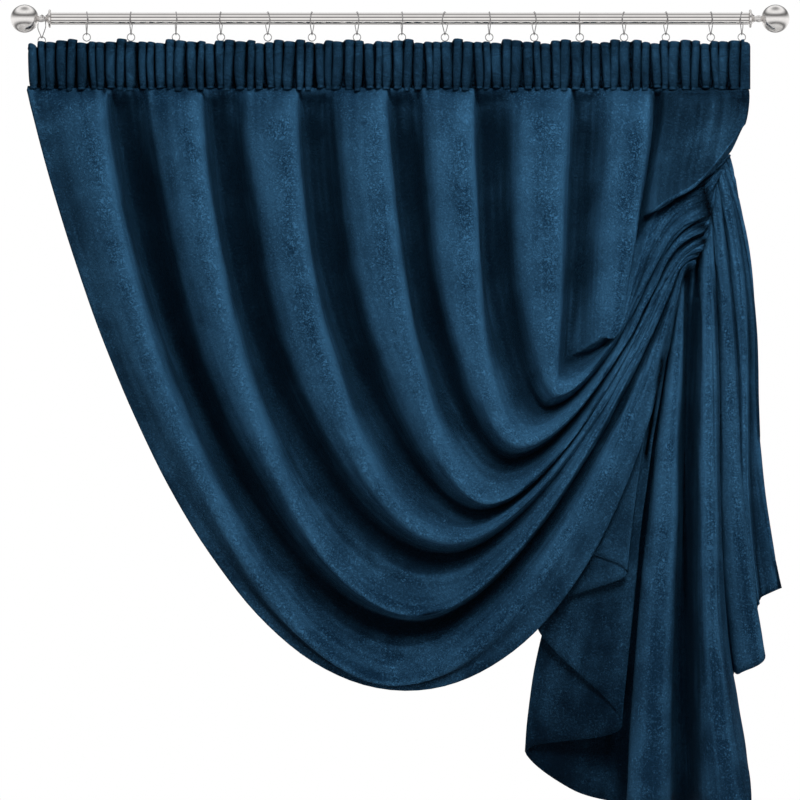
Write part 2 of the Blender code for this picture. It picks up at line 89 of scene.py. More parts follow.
# Wire rings and the small eyes that take the heading's back. RING_TURN is how far each ring has
# turned out of its place across the rod, in degrees, and its eye turns by EYE_SHARE of that.
RING_TURN = (24, 7, -3, 6, -5, 12, -8, 10, 4, -14, 5, 9, -4, -11, 8, 6, -10)
EYE_SHARE = 0.4
RING_WIRE, RING_FOOT = 0.75, 0.34
EYE_WIRE, EYE_FOOT = 0.7, 1.0
LOOP_STEPS, WIRE_SIDES = 40, 8

# Heading.
HEAD_LEFT, HEAD_RIGHT = -588.0, 552.0
HEAD_TOP, HEAD_BOTTOM = -37.0, -112.0
PLEATS = 73
PLEAT_FRONT, PLEAT_BACK = -19.0, -4.4
HEAD_CLOTH = 2.2
# How uneven the pleats are: each one's wander sideways at its middle, towards its ends and in a
# wave down it, its share of width and of fullness, its place forwards, and its top and foot.
WANDER, WANDER_ENDS, WANDER_WAVE = 2.4, 3.2, 1.2
WIDTH_SPREAD, FULL_SPREAD, FORWARD_SPREAD = 0.22, 0.16, 0.7
TOP_SPREAD, FOOT_SPREAD = 3.6, 2.6
PLEAT_MIDDLE = 0.45
FIRST_PLEAT_SLOPE = 6.0
# The band ends at the right in a plain turned edge: place from the end, share of the pleats'
# height, and how far its top corner is rounded down.
HEAD_END = ((-9, 0.7, 0.0), (-4, 0.75, 1.0), (-1, 0.6, 3.5), (0, 0.4, 8.0))
HEAD_END_ROOM = 10.0
# The least painted shade anywhere on the heading, and where its gaps are painted black as shade.
HEAD_SHADE = 0.47
HEAD_GAP_FROM, HEAD_GAP_FULL = 0.72, 0.96

# Panel.
CLOTH = 2.2
PANEL_TOP = -113.4
PANEL_TOP_Y = -8.0

# Each row is one lit fold, seen from the front. u is its place across the cloth. The fold
# leaves the heading at top_x, runs through side and belly to its lowest point, and rises
# through rise and fan to its end, in two Bezier curves. From there it bends to the right
# and reaches the gather at turn, where it goes over the tieback and starts down again.
Fold = namedtuple("Fold", "name u top_x side_x side_z belly_x low_x low_z "
                          "rise_x fan_x fan_z end_x end_z turn_x turn_z")
FOLDS = (
    Fold("edge", 0.00, -588, -508, -446, -306, 8, -1060, 250, 386, -732, 438, -444, 458, -394),
    Fold("one", 0.14, -467, -439, -480, -210, 0, -1029, 158, 356, -666, 429, -444, 461, -384),
    Fold("two", 0.32, -317, -296, -492, -150, 32, -928, 166, 332, -634, 417, -444, 466, -375),
    Fold("three", 0.45, -166, -165, -428, -58, 87, -819, 190, 332, -610, 409, -444, 472, -364),
    Fold("four", 0.56, -25, -13, -444, 63, 142, -757, 229, 332, -576, 400, -444, 476, -353),
    Fold("five", 0.655, 111, 120, -460, 139, 194, -664, 256, 340, -547, 389, -444, 474, -335),
    Fold("six", 0.76, 258, 253, -413, 236, 248, -588, 292, 348, -492, 375, -436, 485, -307),
    Fold("seven", 0.85, 393, 383, -270, 342, 346, -484, 350, 356, -452, 363, -432, 474, -274),
    Fold("billow_left", 0.895, 424, 417, -207, 388, 400, -304, 408, 419, -293, 430, -286, 479, -258),
    Fold("billow", 0.94, 482, 482, -191, 452, 465, -262, 471, 476, -255, 480, -252, 493, -239),
    Fold("selvedge", 1.00, 550, 551, -146, 545, 543, -168, 541, 532, -190, 523, -206, 517, -217),
)
# Two hollows run on lines of their own; the others follow from their neighbours.
OWN_HOLLOWS = (
    Fold("hollow_six", 0.785, 280, 274, -413, 258, 262, -539, 310, 351, -495, 370, -438, 479, -290),
    Fold("hollow_seven", 0.872, 404, 399, -240, 370, 374, -336, 382, 395, -321, 403, -315, 476, -266),
)
# How far back each of those lines lies: at the side, at the lowest point, at the end of
# the fan and at the turn. The front of the cloth is towards minus.
Depth = namedtuple("Depth", "side low end turn")
LINE_DEPTH = {
    "edge": Depth(-23, -20, -37, -34),
    "one": Depth(-34, -30, -46, -40),
    "two": Depth(-38, -44, -54, -44),
    "three": Depth(-38, -52, -54, -45),
    "four": Depth(-38, -60, -56, -46),
    "five": Depth(-38, -66, -58, -46),
    "six": Depth(-38, -72, -58, -46),
    "seven": Depth(-40, -70, -52, -42),
    "billow_left": Depth(-26, -62, -40, -24),
    "billow": Depth(-42, -58, -34, -20),
    "selvedge": Depth(-16, -18, -15, -12),
    "hollow_six": Depth(28, -28, -50, -38),
    "hollow_seven": Depth(18, -14, -36, -32),
}
# Each row is the hollow between a fold and the next: its share of the way at the heading,
# at the lowest point and in the fan, and how deep it is behind the fold before it.
Hollow = namedtuple("Hollow", "after before u share_top share_low share_fan "
                              "deep_side deep_low deep_fan deep_end deep_turn")
HOLLOWS = (
    Hollow("one", "two", 0.19, 0.12, 0.70, 0.66, 74, 52, 42, 15, 11),
    Hollow("two", "three", 0.36, 0.12, 0.72, 0.66, 76, 54, 18, 4, 4),
    Hollow("three", "four", 0.485, 0.13, 0.66, 0.62, 76, 50, 14, 3, 4),
    Hollow("four", "five", 0.59, 0.12, 0.62, 0.66, 76, 52, 36, 15, 12),
    Hollow("five", "six", 0.69, 0.12, 0.64, 0.60, 72, 48, 27, 11, 10),
)
# The brink, where the cloth has turned away behind a crest: how far it is on the way from the
# crest to the hollow, and how much of the hollow's depth is left in front of it.
BRINK_SHARE, BRINK_FRONT = Depth(0.42, 0.50, 0.50, 0.50), Depth(0.28, 0.52, 0.50, 0.50)
# The floor of a hollow and the shoulder where the next fold's face begins: how far each is
# on the way from the hollow to that fold's crest, and how much of its height it has regained.
FLOOR_SHARE, FLOOR_FRONT = Depth(0.24, 0.30, 0.33, 0.33), Depth(0.20, 0.38, 0.36, 0.33)
SHOULDER_SHARE, SHOULDER_FRONT = Depth(0.48, 0.60, 0.64, 0.64), Depth(0.84, 0.80, 0.70, 0.67)
FOLD_NAMES = ("one", "two", "three", "four", "five", "six", "seven")
FACES = tuple(("hollow_" + name, after) for name, after in zip(FOLD_NAMES, FOLD_NAMES[1:]))
# A low ridge close to the left edge.
EDGE_RIDGE_U = 0.035
EDGE_RIDGE_SHARE = Depth(0.16, 0.34, 0.34, 0.34)
EDGE_RIDGE_DEPTH = Depth(-28, -24, -42, -38)

# Tail: each row is one pleat line from the gather to the hem. sway is how far it swings to
# the right and back on the way down.
Pleat = namedtuple("Pleat", "name u top_x top_z mid_x mid_z hem_x hem_z "
                            "deep_top deep_mid deep_hem sway")
TAIL = (
    Pleat("cascade_edge", 0.00, 440, -404, 372, -620, 294, -841, -8, -6, -8, 0),
    Pleat("cascade_one_fold", 0.06, 443, -400, 389, -640, 357, -877, -10, -16, -20, 0),
    Pleat("cascade_two_left", 0.13, 444, -396, 326, -690, 216, -958, -3, 6, 8, 0),
    Pleat("cascade_two_fold", 0.19, 446, -392, 388, -740, 351, -1119, 0, 4, 4, 0),
    Pleat("cascade_three_left", 0.24, 448, -388, 264, -830, 201, -1158, 8, 28, 30, 0),
    Pleat("cascade_three_mid", 0.28, 449, -387, 340, -815, 275, -1222, 9, 38, 42, 0),
    Pleat("hollow_one", 0.32, 449, -386, 394, -800, 366, -1246, 10, 46, 52, 0),
    Pleat("face_two_left", 0.35, 450, -384, 391, -800, 358, -1240, -5, -19, -26, 0),
    Pleat("face_two_right", 0.40, 452, -380, 433, -800, 421, -1240, -10, -30, -36, 0),
    Pleat("hollow_two_left", 0.43, 460, -362, 443, -800, 436, -1242, 8, 38, 40, 0),
    Pleat("hollow_two_right", 0.465, 471, -345, 457, -800, 460, -1242, 8, 38, 40, 0),
    Pleat("face_three_left", 0.50, 477, -324, 466, -790, 474, -1238, -6, -25, -31, 0),
    Pleat("face_three_right", 0.61, 491, -308, 503, -760, 550, -1202, -9, -30, -36, 8),
    Pleat("hollow_three", 0.645, 491, -298, 504, -695, 528, -1045, 6, 12, 16, 6),
    Pleat("face_four_left", 0.685, 493, -288, 511, -675, 534, -1034, -3, -15, -20, 5),
    Pleat("face_four", 0.75, 500, -264, 533, -640, 573, -1004, -5, -20, -26, 5),
    Pleat("hollow_four", 0.785, 502, -258, 534, -612, 553, -968, 6, 8, 10, 6),
    Pleat("face_five_left", 0.81, 505, -252, 538, -600, 554, -948, -1, -7, -8, 7),
    Pleat("face_five", 0.85, 510, -243, 546, -580, 563, -930, -3, -11, -12, 8),
    Pleat("hollow_five", 0.88, 512, -238, 552, -580, 568, -918, 3, 4, 5, 9),
    Pleat("face_six", 0.955, 520, -222, 563, -560, 599, -900, -3, -8, -10, 10),
    Pleat("back_edge", 1.00, 518, -228, 548, -570, 563, -918, 7, 16, 18, 10),
)
# Way of the cloth over the tieback, and the reaches of its bend there and of its turn down.
TURN_HEADING = (0.96, 0.0, 0.28)
ENTER_REACH, ARRIVE_REACH = 0.5, 0.35
TURN_REACH = 12.0
# The folds stand out quickly under the heading, by RELIEF_QUICK, then more slowly.
RELIEF_START, RELIEF_FULL = 0.022, 0.11
RELIEF_QUICK = 0.56

# Steps of the fine panel, down and across.
DROP_ROWS, RISE_ROWS, GATHER_ROWS, TURN_ROWS, TAIL_ROWS = 66, 34, 7, 9, 42
PANEL_COLUMNS = 292
DROP_CROWDING = 1.6
GATHER_FROM = DROP_ROWS + RISE_ROWS
GATHER_TO = GATHER_FROM + GATHER_ROWS + TURN_ROWS
# The hem and the selvedges are thicker by HEM_ROLL over HEM_WIDTH.
HEM_ROLL = 1.3
HEM_WIDTH = 6.0
# Unevenness of the cloth: height, width and length of its swells and dents, and of the lumps in
# the gather, and a salt that sets where they lie.
Dents = namedtuple("Dents", "height width length salt")
SWELLS, SMALL_DENTS = Dents(3.0, 75, 230, 3.1), Dents(1.5, 32, 80, 7.7)
LUMPS = Dents(4.6, 110, 42, 1.9)
# Rows of steps before and after the gather in which swells and dents fade, and the height under
# the heading in which they begin.
CALM_BEFORE, CALM_AFTER = 22.0, 10.0
EVEN_TOP = 60.0
# Puckers under the heading: height, wavelength over 2 pi, how much the spacing wanders, and over
# what length. They fade out down the cloth over PUCKER_FADE.
PUCKERS = ((2.6, 5.6, 2.2, 41.0), (1.6, 2.76, 1.1, 23.0))
PUCKER_FADE = 30.0
# The panel's top edge is tucked up behind the heading.
TUCK = 6.0
TUCK_Y = -1.6
# How far a hollow's sides are looked for, and how deep a hollow is fully painted in shade, down the cloth.
HOLLOW_PLACES = (0, DROP_ROWS, DROP_ROWS + RISE_ROWS // 2,
                 GATHER_FROM, GATHER_TO, GATHER_TO + TAIL_ROWS)
HOLLOW_REACH = (62.0, 58.0, 34.0, 14.0, 10.0, 24.0)
HOLLOW_DEPTH = (62.0, 56.0, 36.0, 13.0, 9.5, 37.0)
# How far down a hollow has its full shade, and its share of it at the heading.
SHADE_START, SHADE_FULL = 0.50, 130.0
# The cascade's faces lie in the shade of the swag: place across the cloth and how dark.
CASCADE_SHADE = ((0.00, 0.56), (0.06, 0.52), (0.10, 0.70), (0.19, 0.62), (0.21, 0.74), (0.28, 0.80),
                 (0.32, 0.86), (0.345, 0.0))
CASCADE_FADE_ROWS = 14.0
# Where the pile is painted in shade: low down, from LOW_START below the rod and fully LOW_HEIGHT further,
# within TOP_HEIGHT under the heading, and by a set share in the gather.
LOW_START, LOW_HEIGHT = 600.0, 560.0
TOP_HEIGHT = 100.0
GATHER_PAINTED_SHADE = 0.5
# Shade under the heading, and on the plain corner at the right, from CORNER_X over CORNER_FADE.
# The corner has lost CORNER_LOSS of its shade at TOP_HEIGHT.
TOP_SHADE = 0.32
CORNER_X, CORNER_FADE, CORNER_SHADE, CORNER_LOSS = 378.0, 30.0, 1.0, 0.35
# Pockets painted black as shade, where a fold tucks under its neighbour: both (x, z) ends, and the half
# width.
SHADE_POCKETS = (
    ((476, -263), (481, -277), 8.5),
    ((478, -270), (489, -310), 8.5),
    ((463, -327), (480, -331), 7.0),
    ((466, -349), (479, -352), 6.0),
    ((466, -372), (476, -378), 5.5),
    ((453, -394), (450, -492), 7.5),
    ((450, -492), (449, -650), 6.5),
    ((449, -650), (455, -930), 5.0),
    ((414, -523), (389, -690), 5.0),
)
POCKET_EDGE = 1.6
# How far the sharpness of a bend shows as a painted highlight on ridges and painted shade in creases, at
# HOLLOW_PLACES, and the radius that is quite sharp.
BEND_SHOWN = (1.0, 1.0, 0.7, 0.30, 0.30, 0.9)
FOLD_RADIUS = 14.0

# Tieback arm, from the wall plate to its tip inside the gather.
TIE_RADIUS = 5.0
TIE_ROUTE = (
    (412, 88, -418),
    (412, 45, -418),
    (413, 5, -418),
    (420, -18, -414),
    (434, -27, -402),
    (446, -29, -382),
    (457, -30, -350),
    (467, -29, -315),
    (471, -27, -288),
)
TIE_STEPS = 8
TIE_SIDES = 20
TIE_SIDE_GUIDE = (0.2, 0.1, 1.0)
TIE_SHARP = 40.0

BODY = "root"


# ---- cloth surfaces ----

def ease(t):
    """Smooth step from 0 to 1."""
    t = np.clip(t, 0.0, 1.0)
    return t * t * (3 - 2 * t)


def unit(vectors):
    return vectors / np.linalg.norm(vectors, axis=-1, keepdims=True)


def mix(first, second, share):
    return first + (second - first) * share


def bezier(controls, steps):
    """A cubic Bezier through four controls, which are points or rows of points."""
    a, b, c, d = (np.asarray(control, float) for control in controls)
    t = np.asarray(steps).reshape(-1, *[1] * a.ndim)
    s = 1 - t
    return s ** 3 * a + 3 * s * s * t * b + 3 * s * t * t * c + t ** 3 * d


def fold_line(row, drop, rise):
    """The (x, z) line of a fold from the heading to the end of its rise."""
    low = (row.low_x, row.low_z)
    top, side = (row.top_x, PANEL_TOP), (row.side_x, row.side_z)
    down = bezier((top, side, (row.belly_x, row.low_z), low), drop)
    up = bezier((low, (row.rise_x, row.low_z), (row.fan_x, row.fan_z), (row.end_x, row.end_z)), rise)
    return np.vstack((down, up[1:]))


def along(drop, rise, top, side, low, end):
    """A value that goes from top to side to low down the drop, then to end up the rise."""
    start = mix(ease(drop / RELIEF_FULL), ease(drop / RELIEF_START), RELIEF_QUICK)
    down = mix(top, side, start) + (low - side) * ease((drop - 0.25) / 0.75)
    return np.concatenate((down, mix(low, end, ease(rise))[1:]))


def swag_lines(drop, rise):
    """Guide lines of the swag: {name: (u, xyz line, xyz turn)}."""
    lines = {}

    def shared(share):
        return along(drop, rise, share.side, share.side, share.low, share.end)

    for row in FOLDS + OWN_HOLLOWS:
        depth = LINE_DEPTH[row.name]
        xz = fold_line(row, drop, rise)
        y = along(drop, rise, PANEL_TOP_Y, depth.side, depth.low, depth.end)
        line = np.column_stack((xz[:, 0], y, xz[:, 1]))
        lines[row.name] = (row.u, line, np.array((row.turn_x, depth.turn, row.turn_z), float))

    edge, one = lines["edge"], lines["one"]
    share, depth = EDGE_RIDGE_SHARE, EDGE_RIDGE_DEPTH
    ridge = mix(edge[1], one[1], shared(share)[:, None])
    ridge[:, 1] = along(drop, rise, PANEL_TOP_Y, depth.side, depth.low, depth.end)
    turn = mix(edge[2], one[2], share.turn)
    turn[1] = depth.turn
    lines["edge_ridge"] = (EDGE_RIDGE_U, ridge, turn)

    for row in HOLLOWS:
        left, right = lines[row.after], lines[row.before]
        part = along(drop, rise, row.share_top, row.share_top, row.share_low, row.share_fan)[:, None]
        hollow = mix(left[1], right[1], part)
        deep = along(drop, rise, 0.0, row.deep_side, row.deep_low, row.deep_end)
        swell = np.concatenate((np.zeros_like(drop), np.sin(math.pi * rise[1:]) ** 2))
        hollow[:, 1] += deep + (row.deep_fan - (row.deep_low + row.deep_end) / 2) * swell
        turn = (left[2] + right[2]) / 2
        turn[1] += row.deep_turn
        lines["hollow_" + row.after] = (row.u, hollow, turn)

        brink = mix(left[1], hollow, shared(BRINK_SHARE)[:, None])
        brink[:, 1] = mix(hollow[:, 1], left[1][:, 1], shared(BRINK_FRONT))
        u = mix(left[0], row.u, BRINK_SHARE.low)
        lines["brink_" + row.after] = (u, brink, (left[2] + turn) / 2)

    for hollow_name, fold_name in FACES:
        before, crest = lines[hollow_name], lines[fold_name]
        for name, share, front in (("floor_", FLOOR_SHARE, FLOOR_FRONT),
                                   ("shoulder_", SHOULDER_SHARE, SHOULDER_FRONT)):
            line = mix(before[1], crest[1], shared(share)[:, None])
            line[:, 1] = mix(before[1][:, 1], crest[1][:, 1], shared(front))
            turn = mix(before[2], crest[2], share.turn)
            lines[name + fold_name] = (mix(before[0], crest[0], share.low), line, turn)
    return lines


def swag_strands(drop, rise):
    """The swag's guide lines as (u, xyz line) from the left edge to the right."""
    lines = swag_lines(drop, rise).values()
    return sorted((line[:2] for line in lines), key=lambda strand: strand[0])


def turn_strands():
    """Where each guide line meets the gather, as (u, xyz of one row)."""
    ends = np.linspace(0, 1, 2)
    lines = swag_lines(ends, ends).values()
    return sorted(((line[0], line[2][None, :]) for line in lines), key=lambda strand: strand[0])


def tail_strands(fall):
    """Every guide line of the tail as (u, xyz array), from the left edge to the right."""
    strands = []
    for row in TAIL:
        top = np.array((row.top_x, row.deep_top, row.top_z), float)
        mid = np.array((row.mid_x, row.deep_mid, row.mid_z), float)
        hem = np.array((row.hem_x, row.deep_hem, row.hem_z), float)
        bow = 2 * mid - 0.5 * (top + hem)
        t = fall[:, None]
        line = (1 - t) ** 2 * top + 2 * (1 - t) * t * bow + t * t * hem
        line[:, 0] += row.sway * np.sin(2 * math.pi * fall)
        strands.append((row.u, line))
    return strands


def across(strands, columns):
    """Smooth surface through the guide lines: rows by columns by xyz."""
    u = np.array([strand[0] for strand in strands])
    points = np.array([strand[1] for strand in strands])
    gaps = np.diff(u)[:, None, None]
    slopes = np.diff(points, axis=0) / gaps
    tangents = np.empty_like(points)
    tangents[0], tangents[-1] = slopes[0], slopes[-1]
    tangents[1:-1] = (slopes[:-1] * gaps[1:] + slopes[1:] * gaps[:-1]) / (gaps[1:] + gaps[:-1])
    i = np.clip(np.searchsorted(u, columns, side="right") - 1, 0, len(u) - 2)
    width = (u[i + 1] - u[i])[:, None, None]
    t = ((columns - u[i]) / (u[i + 1] - u[i]))[:, None, None]
    surface = (
        (2 * t ** 3 - 3 * t ** 2 + 1) * points[i]
        + (t ** 3 - 2 * t ** 2 + t) * width * tangents[i]
        + (3 * t ** 2 - 2 * t ** 3) * points[i + 1]
        + (t ** 3 - t ** 2) * width * tangents[i + 1]
    )
    return surface.transpose(1, 0, 2)


def sheet_surface(columns, drop, rise, gather, turn, fall):
    """The middle surface of the panel, rows from the heading to the hem."""
    swag = across(swag_strands(drop, rise), columns)
    tail = across(tail_strands(fall), columns)
    over = across(turn_strands(), columns)[0]
    enter = unit(swag[-1] - swag[-2])
    leave = unit(tail[1] - tail[0])
    heading = np.array(TURN_HEADING)
    gap = np.linalg.norm(over - swag[-1], axis=1, keepdims=True)
    into = (swag[-1], swag[-1] + enter * gap * ENTER_REACH, over - heading * gap * ARRIVE_REACH, over)
    round_tie = (over, over + heading * TURN_REACH, tail[0] - leave * TURN_REACH, tail[0])
    return np.concatenate((swag, bezier(into, gather[1:]), bezier(round_tie, turn[1:-1]), tail))


def even_columns(count):
    """Places across the cloth that lie evenly on it, counting both the swag and the tail."""
    probe = np.linspace(0, 1, 1500)
    swag = across(swag_strands(np.array((0.0, 0.5, 1.0)), np.array((0.0, 0.5, 1.0))), probe)
    tail = across(tail_strands(np.array((0.0, 0.5, 1.0))), probe)
    run = np.zeros(len(probe))
    for row in (swag[1], swag[3], tail[2]):
        steps = np.concatenate(((0,), np.linalg.norm(np.diff(row, axis=0), axis=1)))
        run += np.cumsum(steps)
    return np.interp(np.linspace(0, run[-1], count), run, probe)


def surface_normals(grid):
    """Unit normals of a grid of points."""
    down = np.gradient(grid, axis=0)
    right = np.gradient(grid, axis=1)
    return unit(np.cross(down, right))


def run_along(grid, axis):
    """Distance along the rows or the columns of a grid, from its first line."""
    steps = np.linalg.norm(np.diff(grid, axis=axis), axis=2)
    first = np.zeros_like(np.take(steps, [0], axis=axis))
    return np.cumsum(np.concatenate((first, steps), axis=axis), axis=axis)


# ---- meshes ----

def new_piece(name, points, faces):
    """A smooth mesh object from points in millimetres, with its faces turned outwards."""
    mesh = bpy.data.meshes.new(name)
    mesh.from_pydata((np.asarray(points) * MM).tolist(), [], faces)
    bm = bmesh.new()
    bm.from_mesh(mesh)
    bmesh.ops.recalc_face_normals(bm, faces=bm.faces)
    bm.to_mesh(mesh)
    bm.free()
    mesh.shade_smooth()
    obj = bpy.data.objects.new(name, mesh)
    bpy.context.scene.collection.objects.link(obj)
    return obj


def thick_sheet(name, grid, thickness, marks):
    """A closed sheet around a grid of middle points. marks are point attributes on the grid."""
    rows, columns = grid.shape[:2]
    half = surface_normals(grid) * np.asarray(thickness)[..., None] / 2
    points = np.concatenate((grid + half, grid - half)).reshape(-1, 3)
    index = np.arange(2 * rows * columns).reshape(2, rows, columns)
    front, back = index

    def quads(a, b, c, d):
        return np.stack((a, b, c, d), axis=-1).reshape(-1, 4)

    faces = np.concatenate((
        quads(front[:-1, :-1], front[1:, :-1], front[1:, 1:], front[:-1, 1:]),
        quads(back[:-1, :-1], back[:-1, 1:], back[1:, 1:], back[1:, :-1]),
        quads(front[0, :-1], front[0, 1:], back[0, 1:], back[0, :-1]),
        quads(front[-1, :-1], back[-1, :-1], back[-1, 1:], front[-1, 1:]),
        quads(front[:-1, 0], back[:-1, 0], back[1:, 0], front[1:, 0]),
        quads(front[:-1, -1], front[1:, -1], back[1:, -1], back[:-1, -1]),
    ))
    obj = new_piece(name, points, faces.tolist())
    for mark, values in marks.items():
        both = np.concatenate((values, values)).ravel().astype(np.float32)
        if values.ndim == 3:
            obj.data.attributes.new(mark, "FLOAT_VECTOR", "POINT").data.foreach_set("vector", both)
        else:
            obj.data.attributes.new(mark, "FLOAT", "POINT").data.foreach_set("value", both)
    return obj


def hollowness(grid, reach, full_depth):
    """0 where the cloth stands at the front, 1 where it lies full_depth behind its neighbours.
    reach and full_depth have one value for each row."""
    depth = grid[..., 1]
    run = run_along(grid * (1, 0, 1), 1)
    result = np.zeros_like(depth)
    for r in range(depth.shape[0]):
        left = np.searchsorted(run[r], run[r] - reach[r])
        right = np.searchsorted(run[r], run[r] + reach[r], side="right")
        for c in range(depth.shape[1]):
            result[r, c] = (depth[r, c] - depth[r, left[c]:right[c]].min()) / full_depth[r]
    return np.clip(result, 0, 1)


def pocket_shade_mask(grid, pockets):
    """How much painted black shade each place gets: 1 in the middle of a pocket, 0 outside all of them."""
    result = np.zeros(grid.shape[:2])
    for start, end, half_width in pockets:
        start, end = np.array(start, float), np.array(end, float)
        offset = grid[..., (0, 2)] - start
        length = end - start
        share = np.clip(offset @ length / (length @ length), 0, 1)
        away = np.linalg.norm(offset - share[..., None] * length, axis=-1)
        result = np.maximum(result, ease(POCKET_EDGE * (1 - away / half_width)))
    return result


def bend_across(grid, radius):
    """1 on a ridge that stands forward as sharply as radius, -1 in such a crease, 0 where flat."""
    run = run_along(grid, 1)
    tangent = np.gradient(grid, axis=1) / np.gradient(run, axis=1)[..., None]
    turning = np.gradient(tangent, axis=1) / np.gradient(run, axis=1)[..., None]
    sharpness = -(turning * surface_normals(grid)).sum(axis=2)
    for _ in range(2):
        sharpness[:, 1:-1] = (sharpness[:, :-2] + 2 * sharpness[:, 1:-1] + sharpness[:, 2:]) / 4
    return np.clip(sharpness * radius, -1, 1)


def round_faces(rows, sides):
    """Four-cornered faces between closed rounds of points, as lists of point numbers."""
    index = np.arange(rows * sides).reshape(rows, sides)
    after = np.roll(index, -1, axis=1)
    return np.stack((index[:-1], after[:-1], after[1:], index[1:]), axis=-1).reshape(-1, 4).tolist()


def turned(name, profile):
    """A solid turned about the X axis from (x, radius) points, closed on the axis."""
    profile = np.array(profile, float)
    inner = profile[1:-1]
    angles = np.linspace(0, 2 * math.pi, TURNED_SIDES, endpoint=False)
    rings = [np.column_stack((x + 0 * angles, radius * np.sin(angles), radius * np.cos(angles)))
             for x, radius in inner]
    points = np.vstack(rings + [np.array(((profile[0, 0], 0, 0), (profile[-1, 0], 0, 0)))])
    faces = round_faces(len(inner), TURNED_SIDES)
    start, end = len(points) - 2, len(points) - 1
    last = (len(inner) - 1) * TURNED_SIDES
    for s in range(TURNED_SIDES):
        n = (s + 1) % TURNED_SIDES
        faces.append((start, n, s))
        faces.append((end, last + s, last + n))
    obj = new_piece(name, points, faces)
    obj.data.set_sharp_from_angle(angle=math.radians(TURNED_SHARP))
    return obj


# ---- node helpers ----

def add_node(tree, kind, inputs=None, **settings):
    """A new node with its settings, and its inputs set to values or linked to sockets."""
    made = tree.nodes.new(kind)
    for key, value in settings.items():
        setattr(made, key, value)
    for key, value in (inputs or {}).items():
        if isinstance(value, bpy.types.NodeSocket):
            tree.links.new(value, made.inputs[key])
        else:
            made.inputs[key].default_value = value
    return made


def math_node(tree, operation, a, b=0.0, clamp=False):
    """One step of arithmetic on two numbers or sockets."""
    made = add_node(tree, "ShaderNodeMath", {0: a, 1: b}, operation=operation, use_clamp=clamp)
    return made.outputs[0]


def noise_node(tree, place, scale, detail, roughness=0.5, distortion=0.0):
    """Smooth noise from 0 to 1."""
    made = add_node(tree, "ShaderNodeTexNoise",
                    {"Vector": place, "Scale": scale, "Detail": detail, "Roughness": roughness,
                     "Distortion": distortion})
    return made.outputs["Fac"]


def range_node(tree, value, span, reach=(0.0, 1.0), soft=False):
    """A value carried from one span over to another, with soft ends if asked."""
    made = add_node(tree, "ShaderNodeMapRange",
                    {"Value": value, "From Min": span[0], "From Max": span[1], "To Min": reach[0],
                     "To Max": reach[1]}, interpolation_type="SMOOTHSTEP" if soft else "LINEAR")
    return made.outputs["Result"]


def stretch_node(tree, place, scales):
    """A place multiplied by one scale along each axis."""
    return add_node(tree, "ShaderNodeVectorMath", {0: place, 1: scales}, operation="MULTIPLY").outputs[0]


def colour_node(tree, share, first, second):
    """A colour between the first and the second."""
    made = add_node(tree, "ShaderNodeMix", {0: share, 6: first, 7: second}, data_type="RGBA")
    return made.outputs[2]


SOCKET_KINDS = ("Float", "Vector", "Color", "Geometry")
NUMBER, VECTOR, COLOUR, GEOMETRY = ("NodeSocket" + kind for kind in SOCKET_KINDS)


def new_group(name, kind, inputs, outputs):
    """A node group with named sockets, and its input and output nodes."""
    tree = bpy.data.node_groups.new(name, kind)
    for socket, socket_type, value in inputs:
        made = tree.interface.new_socket(name=socket, in_out="INPUT", socket_type=socket_type)
        if value is not None:
            made.default_value = value
    for socket, socket_type in outputs:
        tree.interface.new_socket(name=socket, in_out="OUTPUT", socket_type=socket_type)
    return tree, tree.nodes.new("NodeGroupInput"), tree.nodes.new("NodeGroupOutput")


def use_group(tree, group, inputs):
    """A shader node group placed with its own values."""
    return add_node(tree, "ShaderNodeGroup", inputs, node_tree=group)


def set_results(tree, result, values):
    """Links a group's results, by their names."""
    for name, value in values.items():
        tree.links.new(value, result.inputs[name])


def attribute_node(tree, name, output="Fac"):
    return add_node(tree, "ShaderNodeAttribute", attribute_name=name).outputs[output]


# ---- finishes ----

# Velvet colours: painted black shade for a closed pocket, painted shade for a hollow, the face, and a
# bright tone for the nap's strokes and painted highlights on ridges.
VELVET_PAINTED_BLACK = (0.0001, 0.0003, 0.0008, 1.0)
VELVET_PAINTED_SHADE = (0.0007, 0.0029, 0.0068, 1.0)
VELVET_FACE = (0.0066, 0.0272, 0.0590, 1.0)
VELVET_BRIGHT = (0.0365, 0.1240, 0.2360, 1.0)
# Scales of the curls, the fibres, the broad strokes and the small patches, for each metre.
CURL_SCALE, FIBRE_SCALE, STROKE_SCALE, PATCH_SCALE = 190.0, 750.0, 13.0, 38.0
# The least light painted on the pile, and how much each thing adds to it or takes away: strokes, streaks
# and curls are the pile's own tone, the rest painted highlight and shade.
LEAST_LIGHT = 0.06
PILE_LIGHT = {"stroke": 0.34, "streak": 0.22, "rim_highlight": 0.20, "ridge": 1.0, "painted_glint": 0.50, "broad_painted_shade": -0.42,
              "curl": -0.50}
# Painted highlight on ridges, and painted shade in creases and hollows: how much of each shows and how
# dark.
RIDGE_SHOWN, CREASE_SHOWN, CREASE_DARK, HOLLOW_DARK = 0.60, -1.1, 0.85, 0.88
# A hollow's rim gets a painted highlight, which is over by the time the hollow is 1 / RIM_QUICK deep, and
# streaks and strokes lighten the painted shade of the hollows by these shares.
RIM_QUICK = 8.0
STREAK_IN_HOLLOW, STROKE_IN_HOLLOW = 0.26, 0.20
LEAST_PATCH = 0.35
BRIGHT_STEEL, GREY_STEEL = (0.82, 0.795, 0.78), (0.42, 0.41, 0.41)


